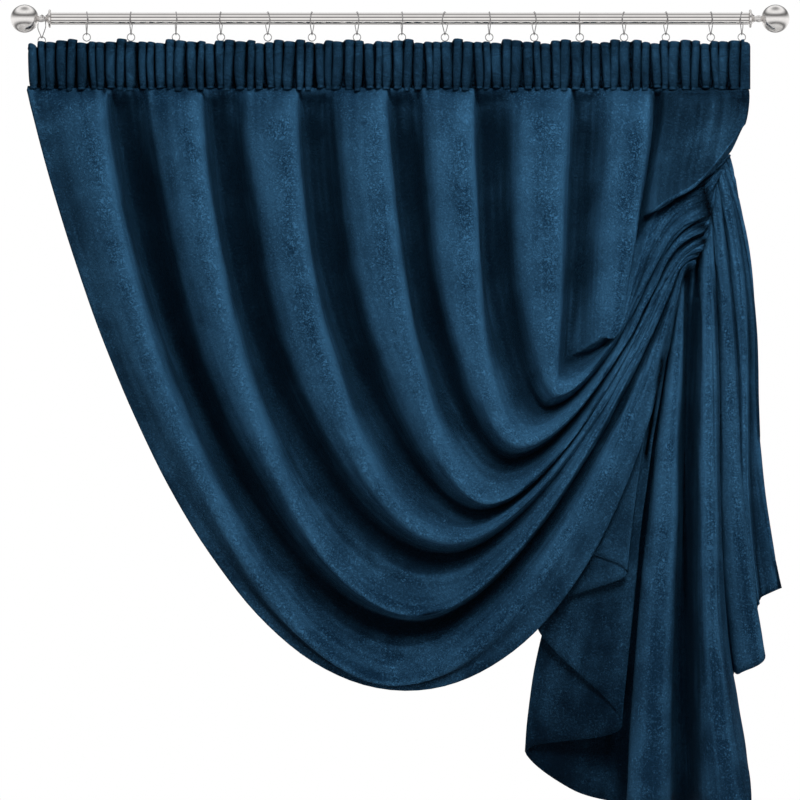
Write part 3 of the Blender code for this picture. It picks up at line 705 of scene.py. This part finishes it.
def curled_pile_group():
    """Short plush pile crushed into small curls: a mark along each curl, painted glints on the pile's tips,
    and a height.
    """
    tree, given, result = new_group(
        "curled-pile", "ShaderNodeTree",
        [("Place", VECTOR, None), ("Curl Scale", NUMBER, 260.0), ("Fibre Scale", NUMBER, 1400.0)],
        [("Curl", NUMBER), ("Painted Glint", NUMBER), ("Height", NUMBER)])
    place, scale = given.outputs["Place"], given.outputs["Curl Scale"]
    curl = noise_node(tree, place, scale, detail=1.5, roughness=0.55, distortion=1.4)
    swing = math_node(tree, "ABSOLUTE", math_node(tree, "SUBTRACT", curl, 0.5))
    mark = math_node(tree, "SUBTRACT", 1.0, math_node(tree, "MULTIPLY", swing, 9.0, clamp=True))
    fuzz = noise_node(tree, place, given.outputs["Fibre Scale"], detail=2.0, roughness=0.6)
    rough = math_node(tree, "MULTIPLY", fuzz, 0.45)
    # Painted glints: bright specks where the pile's tips would catch the light.
    tips = noise_node(tree, place, math_node(tree, "MULTIPLY", scale, 1.7), detail=1.0)
    set_results(tree, result, {"Curl": mark, "Painted Glint": range_node(tree, tips, (0.54, 0.68)),
                               "Height": math_node(tree, "SUBTRACT", rough, mark)})
    return tree


def brushed_nap_group():
    """Soft patches where the nap has been stroked one way or the other."""
    tree, given, result = new_group(
        "brushed-nap", "ShaderNodeTree",
        [("Place", VECTOR, None), ("Patch Scale", NUMBER, 16.0)], [("Stroke", NUMBER)])
    broad = noise_node(tree, given.outputs["Place"], given.outputs["Patch Scale"], detail=3.0,
                       distortion=0.4)
    set_results(tree, result, {"Stroke": range_node(tree, broad, (0.32, 0.68), soft=True)})
    return tree


def hanging_streaks_group():
    """Soft streaks down the hanging cloth, where it is drawn in under the heading."""
    tree, given, result = new_group(
        "hanging-streaks", "ShaderNodeTree",
        [("Laid", VECTOR, None), ("Across", VECTOR, (75.0, 3.2, 0.0))], [("Streak", NUMBER)])
    soft = noise_node(tree, stretch_node(tree, given.outputs["Laid"], given.outputs["Across"]), 1.0,
                      detail=1.5)
    set_results(tree, result, {"Streak": range_node(tree, soft, (0.30, 0.70))})
    return tree


def velvet_pile_and_painted_shade_group():
    """Deep blue plush, with painted shade in hollows, creases and pockets and painted highlights on ridges.
    """
    tree, given, result = new_group(
        "velvet-pile-and-painted-shade", "ShaderNodeTree",
        [("Place", VECTOR, None), ("Laid", VECTOR, None), ("Hollow", NUMBER, 0.0), ("Bend", NUMBER, 0.0),
         ("Pocket Shade", NUMBER, 0.0), ("Hollow From", NUMBER, 0.06), ("Hollow To", NUMBER, 0.92)],
        [("Colour", COLOUR), ("Height", NUMBER)])
    place, laid, hollow, bent = (given.outputs[name] for name in ("Place", "Laid", "Hollow", "Bend"))
    pile = use_group(tree, curled_pile_group(),
                     {"Place": place, "Curl Scale": CURL_SCALE, "Fibre Scale": FIBRE_SCALE})
    nap = brushed_nap_group()
    stroke = use_group(tree, nap, {"Place": place, "Patch Scale": STROKE_SCALE}).outputs["Stroke"]
    patches = use_group(tree, nap, {"Place": place, "Patch Scale": PATCH_SCALE}).outputs["Stroke"]
    streak = use_group(tree, hanging_streaks_group(), {"Laid": laid}).outputs["Streak"]
    patches = math_node(tree, "ADD", patches, LEAST_PATCH)
    # Painted highlight on the rim of each hollow, where the cloth turns away behind a crest.
    rim_highlight = math_node(tree, "MULTIPLY", hollow, RIM_QUICK, clamp=True)
    inner = math_node(tree, "SUBTRACT", patches, rim_highlight, clamp=True)
    # Parts of the painted light: highlights on rims, ridges and the pile's tips, broad painted shade, and
    # the pile's own strokes, streaks and curls.
    parts = {
        "stroke": stroke,
        "streak": streak,
        "rim_highlight": rim_highlight,
        "ridge": math_node(tree, "MULTIPLY", bent, RIDGE_SHOWN, clamp=True),
        "painted_glint": math_node(tree, "MULTIPLY", pile.outputs["Painted Glint"], patches),
        "broad_painted_shade": add_node(tree, "ShaderNodeSeparateXYZ", {"Vector": laid}).outputs["Z"],
        "curl": math_node(tree, "MULTIPLY", pile.outputs["Curl"], inner),
    }
    light = LEAST_LIGHT
    for name, weight in PILE_LIGHT.items():
        light = math_node(tree, "ADD", light, math_node(tree, "MULTIPLY", parts[name], weight))
    face = colour_node(tree, light, VELVET_FACE, VELVET_BRIGHT)

    # Painted shade: hollows and creases darken towards the shade colour, a little less along the streaks
    # and strokes, and pockets are painted black.
    lighter = math_node(tree, "MULTIPLY", math_node(tree, "SUBTRACT", streak, 0.5), STREAK_IN_HOLLOW)
    lighter = math_node(tree, "ADD", lighter, math_node(tree, "MULTIPLY", stroke, STROKE_IN_HOLLOW))
    lying = math_node(tree, "SUBTRACT", hollow, math_node(tree, "MULTIPLY", lighter, hollow))
    shaded = range_node(tree, lying, (given.outputs["Hollow From"], given.outputs["Hollow To"]),
                        (0.0, HOLLOW_DARK), soft=True)
    crease = math_node(tree, "MULTIPLY", bent, CREASE_SHOWN, clamp=True)
    dark = math_node(tree, "MAXIMUM", shaded, math_node(tree, "MULTIPLY", crease, CREASE_DARK))
    colour = colour_node(tree, dark, face, VELVET_PAINTED_SHADE)
    # Pockets are painted black as shade.
    colour = colour_node(tree, given.outputs["Pocket Shade"], colour, VELVET_PAINTED_BLACK)
    set_results(tree, result, {"Colour": colour, "Height": pile.outputs["Height"]})
    return tree


def brushed_lines_group():
    """Fine lines drawn round a turned or drawn metal part, on a slightly clouded tone."""
    tree, given, result = new_group(
        "brushed-lines", "ShaderNodeTree",
        [("Place", VECTOR, None), ("Across", VECTOR, (40.0, 2200.0, 2200.0)),
         ("Smooth", NUMBER, 0.16), ("Worn", NUMBER, 0.30), ("Bright", COLOUR, None), ("Dim", COLOUR, None)],
        [("Colour", COLOUR), ("Roughness", NUMBER), ("Height", NUMBER)])
    place, across_scale, smooth, worn, bright, dim = given.outputs[:6]
    lines = noise_node(tree, stretch_node(tree, place, across_scale), 1.0, detail=2.0, roughness=0.6)
    cloud = noise_node(tree, place, 60.0, detail=2.0)
    set_results(tree, result, {"Colour": colour_node(tree, cloud, bright, dim),
                               "Roughness": range_node(tree, lines, (0.3, 0.7), (smooth, worn)),
                               "Height": lines})
    return tree


def new_material(name):
    """A material, its node tree, its shader and the place on the object."""
    material = bpy.data.materials.new(name)
    material.use_nodes = True
    tree = material.node_tree
    place = add_node(tree, "ShaderNodeTexCoord").outputs["Object"]
    return material, tree, tree.nodes["Principled BSDF"], place


def set_bump(tree, shader, height, strength, distance):
    bump = add_node(tree, "ShaderNodeBump",
                    {"Strength": strength, "Distance": distance, "Height": height})
    tree.links.new(bump.outputs["Normal"], shader.inputs["Normal"])


def velvet(name, pile, hollow_from, hollow_to):
    """Plush velvet whose hollows are painted in shade from hollow_from to hollow_to."""
    material, tree, shader, place = new_material(name)
    surface = use_group(tree, pile, {
        "Place": place,
        "Laid": attribute_node(tree, "laid", "Vector"),
        "Hollow": attribute_node(tree, "hollow"),
        "Bend": attribute_node(tree, "bend"),
        "Pocket Shade": attribute_node(tree, "pocket_shade"),
        "Hollow From": hollow_from,
        "Hollow To": hollow_to,
    })
    tree.links.new(surface.outputs["Colour"], shader.inputs["Base Color"])
    set_bump(tree, shader, surface.outputs["Height"], strength=0.9, distance=0.0018)
    shader.inputs["Roughness"].default_value = 0.92
    shader.inputs["Specular IOR Level"].default_value = 0.05
    shader.inputs["Sheen Weight"].default_value = 0.12
    shader.inputs["Sheen Roughness"].default_value = 0.30
    shader.inputs["Sheen Tint"].default_value = (0.10, 0.38, 0.75, 1.0)
    return material


def steel(name, lines, across_scale, smooth, worn, colour):
    """Polished or wire steel, with fine lines across_scale close."""
    material, tree, shader, place = new_material(name)
    surface = use_group(tree, lines, {
        "Place": place,
        "Across": across_scale,
        "Smooth": smooth,
        "Worn": worn,
        "Bright": (*colour, 1.0),
        "Dim": (*[value * 0.90 for value in colour], 1.0),
    })
    tree.links.new(surface.outputs["Colour"], shader.inputs["Base Color"])
    tree.links.new(surface.outputs["Roughness"], shader.inputs["Roughness"])
    set_bump(tree, shader, surface.outputs["Height"], strength=0.02, distance=0.0001)
    shader.inputs["Metallic"].default_value = 1.0
    return material


# ---- pieces ----

def finish_piece(obj, material, slot, *nodes):
    """Gives a piece its finish, its body and the nodes it stands for; slot is not used."""
    if material is not None:
        obj.data.materials.clear()
        obj.data.materials.append(material)
    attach(obj, BODY)
    if nodes:
        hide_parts(*nodes)
    return obj


def make_rod(material):
    """The plain rod, its ends inside the finials."""
    half = ROD_HALF_LENGTH
    left = [(-half, 0), (-half, ROD_RADIUS - ROD_END_ROUND), (-half + ROD_END_ROUND, ROD_RADIUS),
            (-half + ROD_END_BAND, ROD_RADIUS)]
    right = [(-x, radius) for x, radius in reversed(left)]
    return finish_piece(turned("steel-rod", left + right), material, "steel", "rod")


def make_finial(name, side, node, material):
    """Ball, slim neck, flared collar and a flange that closes the rod's end."""
    profile = []
    start = math.asin(NECK_RADIUS / BALL_RADIUS)
    for angle in np.linspace(math.pi, start, BALL_STEPS):
        profile.append((BALL_CENTRE_X - BALL_RADIUS * math.cos(angle), BALL_RADIUS * math.sin(angle)))
    profile[0] = (profile[0][0], 0.0)
    flange_out = FLANGE_IN + FLANGE_THICKNESS
    collar_end = flange_out + COLLAR_LENGTH
    ball_foot = profile[-1][0]
    for t in np.linspace(0, 1, NECK_STEPS)[1:]:
        swell = NECK_SWELL * math.sin(math.pi * t)
        profile.append((ball_foot + (collar_end - ball_foot) * t, NECK_RADIUS + swell))
    for t in np.linspace(0, 1, FLARE_STEPS)[1:]:
        profile.append((collar_end - COLLAR_LENGTH * t, NECK_RADIUS + COLLAR_FLARE * t * t))
    for angle in np.linspace(0, math.pi, FLANGE_STEPS):
        profile.append((flange_out - FLANGE_THICKNESS / 2 * (1 - math.cos(angle)),
                        FLANGE_RADIUS - FLANGE_ROUND * (1 - math.sin(angle))))
    profile.append((FLANGE_IN, 0))
    piece = turned(name, [(side * x, radius) for x, radius in profile])
    return finish_piece(piece, material, "steel", node)


def wire_loops_tree(material):
    """Geometry nodes: one closed round of wire, pulled to a point below, on every host point."""
    tree, given, result = new_group(
        "wire-loops", "GeometryNodeTree",
        [("Geometry", GEOMETRY, None), ("Loop Radius", NUMBER, 0.018),
         ("Wire Radius", NUMBER, 0.0008), ("Foot Width", NUMBER, 0.4),
         ("Facing", NUMBER, 0.0)],
        [("Geometry", GEOMETRY)])
    radius = given.outputs["Loop Radius"]
    circle = add_node(tree, "GeometryNodeCurvePrimitiveCircle",
                      {"Resolution": LOOP_STEPS, "Radius": radius})
    position = add_node(tree, "GeometryNodeInputPosition")
    place = add_node(tree, "ShaderNodeSeparateXYZ", {0: position.outputs[0]})
    foot = math_node(tree, "MULTIPLY", radius, -1.0)
    widths = (given.outputs["Foot Width"], 1.0)
    narrow = range_node(tree, place.outputs["Y"], (foot, 0.0), widths, soft=True)
    pulled = add_node(tree, "ShaderNodeCombineXYZ",
                      {"X": math_node(tree, "MULTIPLY", place.outputs["X"], narrow),
                       "Y": place.outputs["Y"]})
    shaped = add_node(tree, "GeometryNodeSetPosition",
                      {"Geometry": circle.outputs[0], "Position": pulled.outputs[0]})
    wire = add_node(tree, "GeometryNodeCurvePrimitiveCircle",
                    {"Resolution": WIRE_SIDES, "Radius": given.outputs["Wire Radius"]})
    loop = add_node(tree, "GeometryNodeCurveToMesh",
                    {"Curve": shaped.outputs[0], "Profile Curve": wire.outputs[0]})
    turn = add_node(tree, "GeometryNodeInputNamedAttribute", {"Name": "turn"}, data_type="FLOAT")
    heading = math_node(tree, "ADD", turn.outputs["Attribute"], given.outputs["Facing"])
    lean = add_node(tree, "ShaderNodeCombineXYZ", {"X": math.pi / 2, "Z": heading})
    copies = add_node(tree, "GeometryNodeInstanceOnPoints",
                      {"Points": given.outputs["Geometry"], "Instance": loop.outputs[0],
                       "Rotation": lean.outputs[0]})
    real = add_node(tree, "GeometryNodeRealizeInstances", {"Geometry": copies.outputs[0]})
    smooth = add_node(tree, "GeometryNodeSetShadeSmooth", {"Geometry": real.outputs[0]})
    painted = add_node(tree, "GeometryNodeSetMaterial",
                       {"Geometry": smooth.outputs[0], "Material": material})
    set_results(tree, result, {"Geometry": painted.outputs[0]})
    return tree


def run_tree(name, host_points, marks, tree, values):
    """Runs a geometry tree on loose points and returns its result as a plain mesh object."""
    mesh = bpy.data.meshes.new(name + "-points")
    mesh.from_pydata([tuple(p) for p in host_points], [], [])
    for mark, numbers in marks.items():
        mesh.attributes.new(mark, "FLOAT", "POINT").data.foreach_set("value", numbers)
    host = bpy.data.objects.new(name + "-points", mesh)
    bpy.context.scene.collection.objects.link(host)
    modifier = host.modifiers.new("shape", "NODES")
    modifier.node_group = tree
    for item in tree.interface.items_tree:
        if item.item_type == "SOCKET" and item.in_out == "INPUT" and item.name in values:
            modifier[item.identifier] = values[item.name]
    graph = bpy.context.evaluated_depsgraph_get()
    made = bpy.data.meshes.new_from_object(host.evaluated_get(graph))
    bpy.data.objects.remove(host)
    obj = bpy.data.objects.new(name, made)
    obj.data.name = name
    bpy.context.scene.collection.objects.link(obj)
    return obj


def make_rings(material):
    """Seventeen rings over the rod and the eye under each."""
    numbers = range(1, len(RING_TURN) + 1)
    tree = wire_loops_tree(material)
    for name, node, wire, foot, facing, turns in (
            ("wire-rings", "ring", RING_WIRE, RING_FOOT, math.pi / 2, RING_TURN),
            ("wire-eyes", "eye", EYE_WIRE, EYE_FOOT, 0.0, [turn * EYE_SHARE for turn in RING_TURN])):
        nodes = [f"{node}-{number:02d}" for number in numbers]
        boxes = [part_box(n) for n in nodes]
        centres = [(low + high) / 2 for low, high in boxes]
        radius = (boxes[0][1].z - boxes[0][0].z) / 2 - wire * MM
        loops = run_tree(name, centres, {"turn": [math.radians(t) for t in turns]}, tree,
                         {"Loop Radius": radius, "Wire Radius": wire * MM, "Foot Width": foot,
                          "Facing": facing})
        finish_piece(loops, None, "ring_wire", *nodes)


def make_tieback(material):
    """A plain bent arm and its round wall plate, inside the gather."""
    places = np.arange(len(TIE_ROUTE), dtype=float)
    strands = [(place, np.array([point], float)) for place, point in zip(places, TIE_ROUTE)]
    last = len(TIE_ROUTE) - 1
    route = across(strands, np.linspace(0, last, last * TIE_STEPS + 1))[0]
    forward = unit(np.gradient(route, axis=0))
    sideways = unit(np.cross(forward, TIE_SIDE_GUIDE))[:, None]
    upward = np.cross(sideways[:, 0], forward)[:, None]
    angles = np.linspace(0, 2 * math.pi, TIE_SIDES, endpoint=False)[None, :, None]
    rounds = route[:, None] + TIE_RADIUS * (np.cos(angles) * sideways + np.sin(angles) * upward)
    ends = [point.repeat(TIE_SIDES, 0)[None] for point in (route[:1], route[-1:])]
    grid = np.concatenate((ends[0], rounds, ends[1]))
    faces = round_faces(len(grid), TIE_SIDES)
    arm = new_piece("tieback-bent-arm", grid.reshape(-1, 3), faces)
    bm = bmesh.new()
    bm.from_mesh(arm.data)
    bmesh.ops.remove_doubles(bm, verts=bm.verts, dist=0.00001)
    bmesh.ops.recalc_face_normals(bm, faces=bm.faces)
    bm.to_mesh(arm.data)
    bm.free()
    arm.data.set_sharp_from_angle(angle=math.radians(TIE_SHARP))
    finish_piece(arm, material, "steel", "tieback-arm")
    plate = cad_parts["tieback-plate"]
    for slot_place in plate.material_slots:
        slot_place.material = material


# Pencil pleat seen from above: place across one pleat, and how far forward it stands.
PLEAT_SHAPE = (
    (0.00, 0.00), (0.05, 0.02), (0.09, 0.22), (0.11, 0.50), (0.14, 0.76), (0.20, 0.93), (0.30, 1.00),
    (0.40, 0.98), (0.50, 0.90), (0.60, 0.78), (0.69, 0.62), (0.76, 0.44), (0.81, 0.26), (0.85, 0.11),
    (0.89, 0.03), (0.94, 0.00),
)
# Down the heading: share of the height, how full the pleats stand, how wide they are.
HEAD_ROWS = (
    (0.000, 0.88, 0.98), (0.010, 0.94, 1.00), (0.040, 0.95, 1.00), (0.080, 0.92, 0.98),
    (0.110, 0.83, 0.93), (0.128, 0.79, 0.91), (0.150, 0.85, 0.94), (0.200, 0.94, 1.00),
    (0.270, 0.98, 1.02), (0.350, 1.00, 1.03), (0.440, 1.00, 1.03), (0.530, 1.00, 1.02),
    (0.620, 1.00, 1.00), (0.700, 0.98, 0.98), (0.770, 0.95, 0.95), (0.830, 0.89, 0.91),
    (0.880, 0.80, 0.85), (0.915, 0.68, 0.79), (0.940, 0.56, 0.72), (0.965, 0.60, 0.78),
    (1.000, 0.74, 0.92),
)


def uneven(number, spread, salt=0.0):
    """A repeatable small difference for a numbered pleat, between about -spread and spread."""
    return spread * (math.sin(number * 2.399 + salt) + math.sin(number * 5.17 + 1.3 + 2 * salt)) / 1.7


def heading_grid():
    """Middle points of the pleated band."""
    pitch = (HEAD_RIGHT - HEAD_LEFT) / PLEATS
    places = np.array([p for p, f in PLEAT_SHAPE])
    fronts = np.array([f for p, f in PLEAT_SHAPE])
    rows = []
    for share, full, wide in HEAD_ROWS:
        row = []
        for pleat in range(PLEATS):
            wander = uneven(pleat, WANDER) + uneven(pleat, WANDER_ENDS, 0.7) * (share - 0.4)
            wander = wander + uneven(pleat, WANDER_WAVE, 2.1) * math.sin(share * 5 + pleat)
            width = np.clip(wide * (1 + uneven(pleat, WIDTH_SPREAD, 1.9)), 0.7, 1.2)
            fullness = np.clip(full * (1 + uneven(pleat, FULL_SPREAD, 3.3)), 0.3, 1.15)
            x = HEAD_LEFT + pitch * (pleat + PLEAT_MIDDLE + (places - PLEAT_MIDDLE) * width) + wander
            if pleat == 0:
                x = np.maximum(x, HEAD_LEFT)
            y = PLEAT_BACK + (PLEAT_FRONT - PLEAT_BACK) * fronts * fullness
            y = y + uneven(pleat, FORWARD_SPREAD, 4.4)
            crown = uneven(pleat, TOP_SPREAD, 5.2) * (1 - share) ** 2
            crown = crown + uneven(pleat, FOOT_SPREAD, 0.9) * share ** 6
            if pleat == 0:
                crown = crown - FIRST_PLEAT_SLOPE * (1 - fronts) * (1 - share) ** 8
            z = HEAD_TOP + (HEAD_BOTTOM - HEAD_TOP) * share + crown
            row.append(np.column_stack((x, y, z + np.zeros_like(x))))
        level = HEAD_TOP + (HEAD_BOTTOM - HEAD_TOP) * share
        end = np.array([(HEAD_RIGHT + place, PLEAT_FRONT * front, level - rounded * (1 - share) ** 6)
                        for place, front, rounded in HEAD_END])
        row[-1] = row[-1][row[-1][:, 0] < HEAD_RIGHT - HEAD_END_ROOM]
        rows.append(np.vstack(row + [end]))
    kept = min(len(row) for row in rows) - len(HEAD_END)
    return np.array([np.vstack((row[:kept], row[-len(HEAD_END):])) for row in rows])


def make_heading(material):
    """The pencil-pleated band along the top."""
    grid = heading_grid()
    full = PLEAT_BACK - PLEAT_FRONT
    # Painted shade: the pleats darken towards their backs, never less than the least shade, and their gaps
    # are painted black.
    hollow = np.clip((grid[..., 1] - PLEAT_FRONT - 1.0) / (full - 2.0), 0, 1)
    laid = np.stack((run_along(grid, 1), run_along(grid, 0), np.zeros_like(hollow)), axis=-1) * MM
    gap = ease((hollow - HEAD_GAP_FROM) / (HEAD_GAP_FULL - HEAD_GAP_FROM))
    marks = {"hollow": np.maximum(hollow, HEAD_SHADE), "bend": np.zeros_like(hollow), "laid": laid,
             "pocket_shade": gap}
    obj = thick_sheet("pleated-heading", grid, np.full(grid.shape[:2], HEAD_CLOTH), marks)
    finish_piece(obj, material, "velvet", "heading")
    return obj


def uneven_cloth(across_run, down_run, dents):
    """Smooth swells and dents of the laid-out cloth, as high, wide and long as dents says."""
    result = np.empty(across_run.shape)
    for place in np.ndindex(result.shape):
        spot = (across_run[place] / dents.width, down_run[place] / dents.length, dents.salt)
        result[place] = noise.noise(Vector(spot))
    return dents.height * result


def panel_grid(columns):
    """Middle points of the panel with its unevenness, its puckers and its tucked-up top edge."""
    drop = np.linspace(0, 1, DROP_ROWS + 1) ** DROP_CROWDING
    steps = [np.linspace(0, 1, count + 1) for count in (RISE_ROWS, GATHER_ROWS, TURN_ROWS, TAIL_ROWS)]
    grid = sheet_surface(columns, drop, *steps)
    down = run_along(grid, 0)
    widest = run_along(grid, 1)[DROP_ROWS // 2]
    cloth_across = np.broadcast_to(widest, down.shape)
    normals = surface_normals(grid)
    if normals[DROP_ROWS // 2, :, 1].mean() > 0:
        normals = -normals

    rows = np.arange(grid.shape[0])
    calm = ease((GATHER_FROM - rows) / CALM_BEFORE) + ease((rows - GATHER_TO) / CALM_AFTER)
    calm = calm[:, None]
    top = ease(down / EVEN_TOP)
    swells = uneven_cloth(cloth_across, down, SWELLS) + uneven_cloth(cloth_across, down, SMALL_DENTS)
    lumps = uneven_cloth(cloth_across, down, LUMPS) * (1 - np.minimum(calm, 1))
    grid = grid + normals * (swells * calm * top + lumps)[..., None]

    along_top = run_along(grid, 1)[0]
    fade = np.exp(-down / PUCKER_FADE)
    for height, length, wander, wander_length in PUCKERS:
        pucker = height * np.sin(along_top / length + wander * np.sin(along_top / wander_length))
        grid[..., 1] -= pucker[None, :] * fade
    tuck = grid[:1] + np.array((0.0, 0.0, TUCK))
    tuck[..., 1] = TUCK_Y
    return np.concatenate((tuck, grid))


def panel_hollow(grid, columns, down):
    """How much painted shade each place of the panel gets: in hollows, in the cascade, under the heading
    and at the right corner.
    """
    rows = np.arange(grid.shape[0])
    hollow = hollowness(grid, np.interp(rows, HOLLOW_PLACES, HOLLOW_REACH),
                        np.interp(rows, HOLLOW_PLACES, HOLLOW_DEPTH))
    full = int(np.searchsorted(down[:, 0], SHADE_FULL))
    shade = SHADE_START + (1 - SHADE_START) * ease(down[:full] / SHADE_FULL)
    hollow[:full] = np.maximum(hollow[:full], shade * hollow[full])

    places, shades = zip(*CASCADE_SHADE)
    fallen = ease((rows - GATHER_TO) / CASCADE_FADE_ROWS)[:, None]
    hollow = np.maximum(hollow, fallen * np.interp(columns, places, shades)[None, :])

    lower = ease(down / TOP_HEIGHT)
    corner = CORNER_SHADE * (1 - CORNER_LOSS * lower) * ease((grid[..., 0] - CORNER_X) / CORNER_FADE)
    shade = np.maximum(corner, TOP_SHADE * (1 - lower))
    hollow[:DROP_ROWS] = np.maximum(hollow, shade)[:DROP_ROWS]
    return hollow


def make_panel(material):
    """The one sheet of velvet, from the heading through swag and gather to the tail's hem."""
    columns = even_columns(PANEL_COLUMNS)
    grid = panel_grid(columns)
    down, run = run_along(grid, 0), run_along(grid, 1)
    from_hem = down[-1:] - down
    from_side = np.minimum(run, run[:, -1:] - run)
    roll = np.exp(-(np.minimum(from_hem, from_side) / HEM_WIDTH) ** 2)
    thickness = CLOTH + HEM_ROLL * roll

    # Painted shade low down, under the heading and by a set share in the gather.
    broad_painted_shade = np.maximum(ease((-grid[..., 2] - LOW_START) / LOW_HEIGHT), 1 - ease(down / TOP_HEIGHT))
    broad_painted_shade[GATHER_FROM:GATHER_TO] = GATHER_PAINTED_SHADE
    widest = np.broadcast_to(run[DROP_ROWS // 2], run.shape)
    shown = np.interp(np.arange(grid.shape[0]), HOLLOW_PLACES, BEND_SHOWN)[:, None]
    # Masks for the velvet's painted shade and highlights, and the places it is laid out at.
    marks = {
        "hollow": panel_hollow(grid, columns, down),
        "bend": bend_across(grid, FOLD_RADIUS) * shown,
        "laid": np.stack((widest * MM, down * MM, broad_painted_shade), axis=-1),
        "pocket_shade": pocket_shade_mask(grid, SHADE_POCKETS),
    }
    obj = thick_sheet("velvet-panel", grid, thickness, marks)
    finish_piece(obj, material, "velvet", "panel")
    return obj


# ---- room ----

VIEW_CENTRE = Vector((0.0, 0.0, -0.6023))
VIEW_WIDTH = 1.264
VIEW_DISTANCE = 8.0
SENSOR = 36.0
AMBIENT = 0.10
GLOSS_STRENGTH = 1.15
BELOW, ABOVE = 0.42, 0.34
WHITE = (1.0, 1.0, 1.0, 1.0)
# Lights: name, place, aim, size and watts.
LIGHTS = (
    ("key-softbox", (0.6, -2.1, 1.0), (0.0, 0.0, -0.45), (1.0, 1.0), 78),
    ("fill-softbox", (-2.2, -2.6, 0.1), (0.0, 0.0, -0.6), (1.2, 1.8), 13),
    ("back-softbox", (0.8, 2.6, 0.6), (0.0, 0.0, -0.6), (1.4, 1.4), 36),
)
FLOOR_HALF_WIDTH, FLOOR_HALF_DEPTH, FLOOR_DROP = 1500.0, 780.0, 50.0
FLOOR_COLOUR = (0.86, 0.86, 0.85, 1.0)
# Greys that polished metal mirrors, from straight down (0) to straight up (1).
STUDIO_BANDS = (
    (0.02, 0.34), (0.05, 0.62), (0.10, 0.80), (0.14, 0.50), (0.18, 0.12), (0.215, 0.14), (0.28, 0.50),
    (0.36, 0.92), (0.52, 1.00), (0.60, 0.62), (0.68, 0.15), (0.745, 0.13), (0.80, 0.50), (0.87, 0.97),
    (0.95, 0.86), (0.985, 0.42),
)


def make_camera():
    """A view from straight in front."""
    data = bpy.data.cameras.new("front-view")
    data.sensor_width = SENSOR
    data.lens = SENSOR * VIEW_DISTANCE / VIEW_WIDTH
    data.clip_end = 60.0
    camera = bpy.data.objects.new("front-view", data)
    camera.location = VIEW_CENTRE - Vector((0.0, VIEW_DISTANCE, 0.0))
    camera.rotation_euler = (math.radians(90), 0, 0)
    bpy.context.scene.collection.objects.link(camera)
    bpy.context.scene.camera = camera


def soft_light(name, place, aim, size, power):
    """A white softbox that shows in no reflection."""
    data = bpy.data.lights.new(name, "AREA")
    data.shape = "RECTANGLE"
    data.size, data.size_y = size
    data.energy = power
    light = bpy.data.objects.new(name, data)
    light.location = place
    light.visible_glossy = False
    light.rotation_euler = (Vector(aim) - Vector(place)).to_track_quat("-Z", "Y").to_euler()
    bpy.context.scene.collection.objects.link(light)


def make_room():
    """Lights, the white surroundings, the bands that polished metal mirrors, and the floor."""
    scene = bpy.context.scene
    scene.view_settings.view_transform = "Standard"
    for light in LIGHTS:
        soft_light(*light)

    world = bpy.data.worlds.new("studio")
    world.use_nodes = True
    scene.world = world
    tree = world.node_tree
    tree.nodes.clear()
    sky = add_node(tree, "ShaderNodeTexCoord").outputs["Generated"]
    height = add_node(tree, "ShaderNodeSeparateXYZ", {0: sky}).outputs["Z"]
    upward = math_node(tree, "ADD", math_node(tree, "MULTIPLY", height, 0.5), 0.5)
    bands = add_node(tree, "ShaderNodeValToRGB", {0: upward})
    ramp = bands.color_ramp
    ramp.elements[0].color = (BELOW, BELOW, BELOW, 1.0)
    ramp.elements[1].color = (ABOVE, ABOVE, ABOVE, 1.0)
    for place, grey in STUDIO_BANDS:
        element = ramp.elements.new(place)
        element.color = (grey, grey, grey, 1.0)
    gloss, dim, white = (
        add_node(tree, "ShaderNodeBackground", {"Color": colour, "Strength": strength})
        for colour, strength in ((bands.outputs[0], GLOSS_STRENGTH), (WHITE, AMBIENT), (WHITE, 1.0)))
    ray = add_node(tree, "ShaderNodeLightPath")
    mirrored = add_node(tree, "ShaderNodeMixShader",
                        {0: ray.outputs["Is Glossy Ray"], 1: dim.outputs[0], 2: gloss.outputs[0]})
    both = add_node(tree, "ShaderNodeMixShader",
                    {0: ray.outputs["Is Camera Ray"], 1: mirrored.outputs[0], 2: white.outputs[0]})
    out = tree.nodes.new("ShaderNodeOutputWorld")
    tree.links.new(both.outputs[0], out.inputs["Surface"])

    level = CAD_BOX[0].z * TO_MM - FLOOR_DROP
    corners = [(side * FLOOR_HALF_WIDTH, end * FLOOR_HALF_DEPTH, level)
               for side, end in ((-1, -1), (1, -1), (1, 1), (-1, 1))]
    floor = new_piece("pale-floor", corners, [(0, 1, 2, 3)])
    paint = bpy.data.materials.new("pale-floor")
    paint.use_nodes = True
    shader = paint.node_tree.nodes["Principled BSDF"]
    shader.inputs["Base Color"].default_value = FLOOR_COLOUR
    shader.inputs["Roughness"].default_value = 0.7
    floor.data.materials.append(paint)


make_camera()
make_room()
pile, lines = velvet_pile_and_painted_shade_group(), brushed_lines_group()
panel_velvet = velvet("plush-velvet", pile, 0.06, 0.92)
# The heading's copy of the velvet reaches its full painted shade sooner than the panel's.
heading_velvet = velvet("plush-velvet-heading", pile, 0.04, 0.66)
rod_steel = steel("drawn-steel", lines, (12.0, 900.0, 900.0), 0.04, 0.10, BRIGHT_STEEL)
turned_steel = steel("turned-steel", lines, (900.0, 30.0, 30.0), 0.14, 0.26, BRIGHT_STEEL)
wire_steel = steel("ring-wire", lines, (500.0, 500.0, 500.0), 0.20, 0.32, GREY_STEEL)

make_rod(rod_steel)
make_finial("ball-finial-left", -1, "finial-left", turned_steel)
make_finial("ball-finial-right", 1, "finial-right", turned_steel)
make_rings(wire_steel)
make_tieback(rod_steel)
make_heading(heading_velvet)
make_panel(panel_velvet)
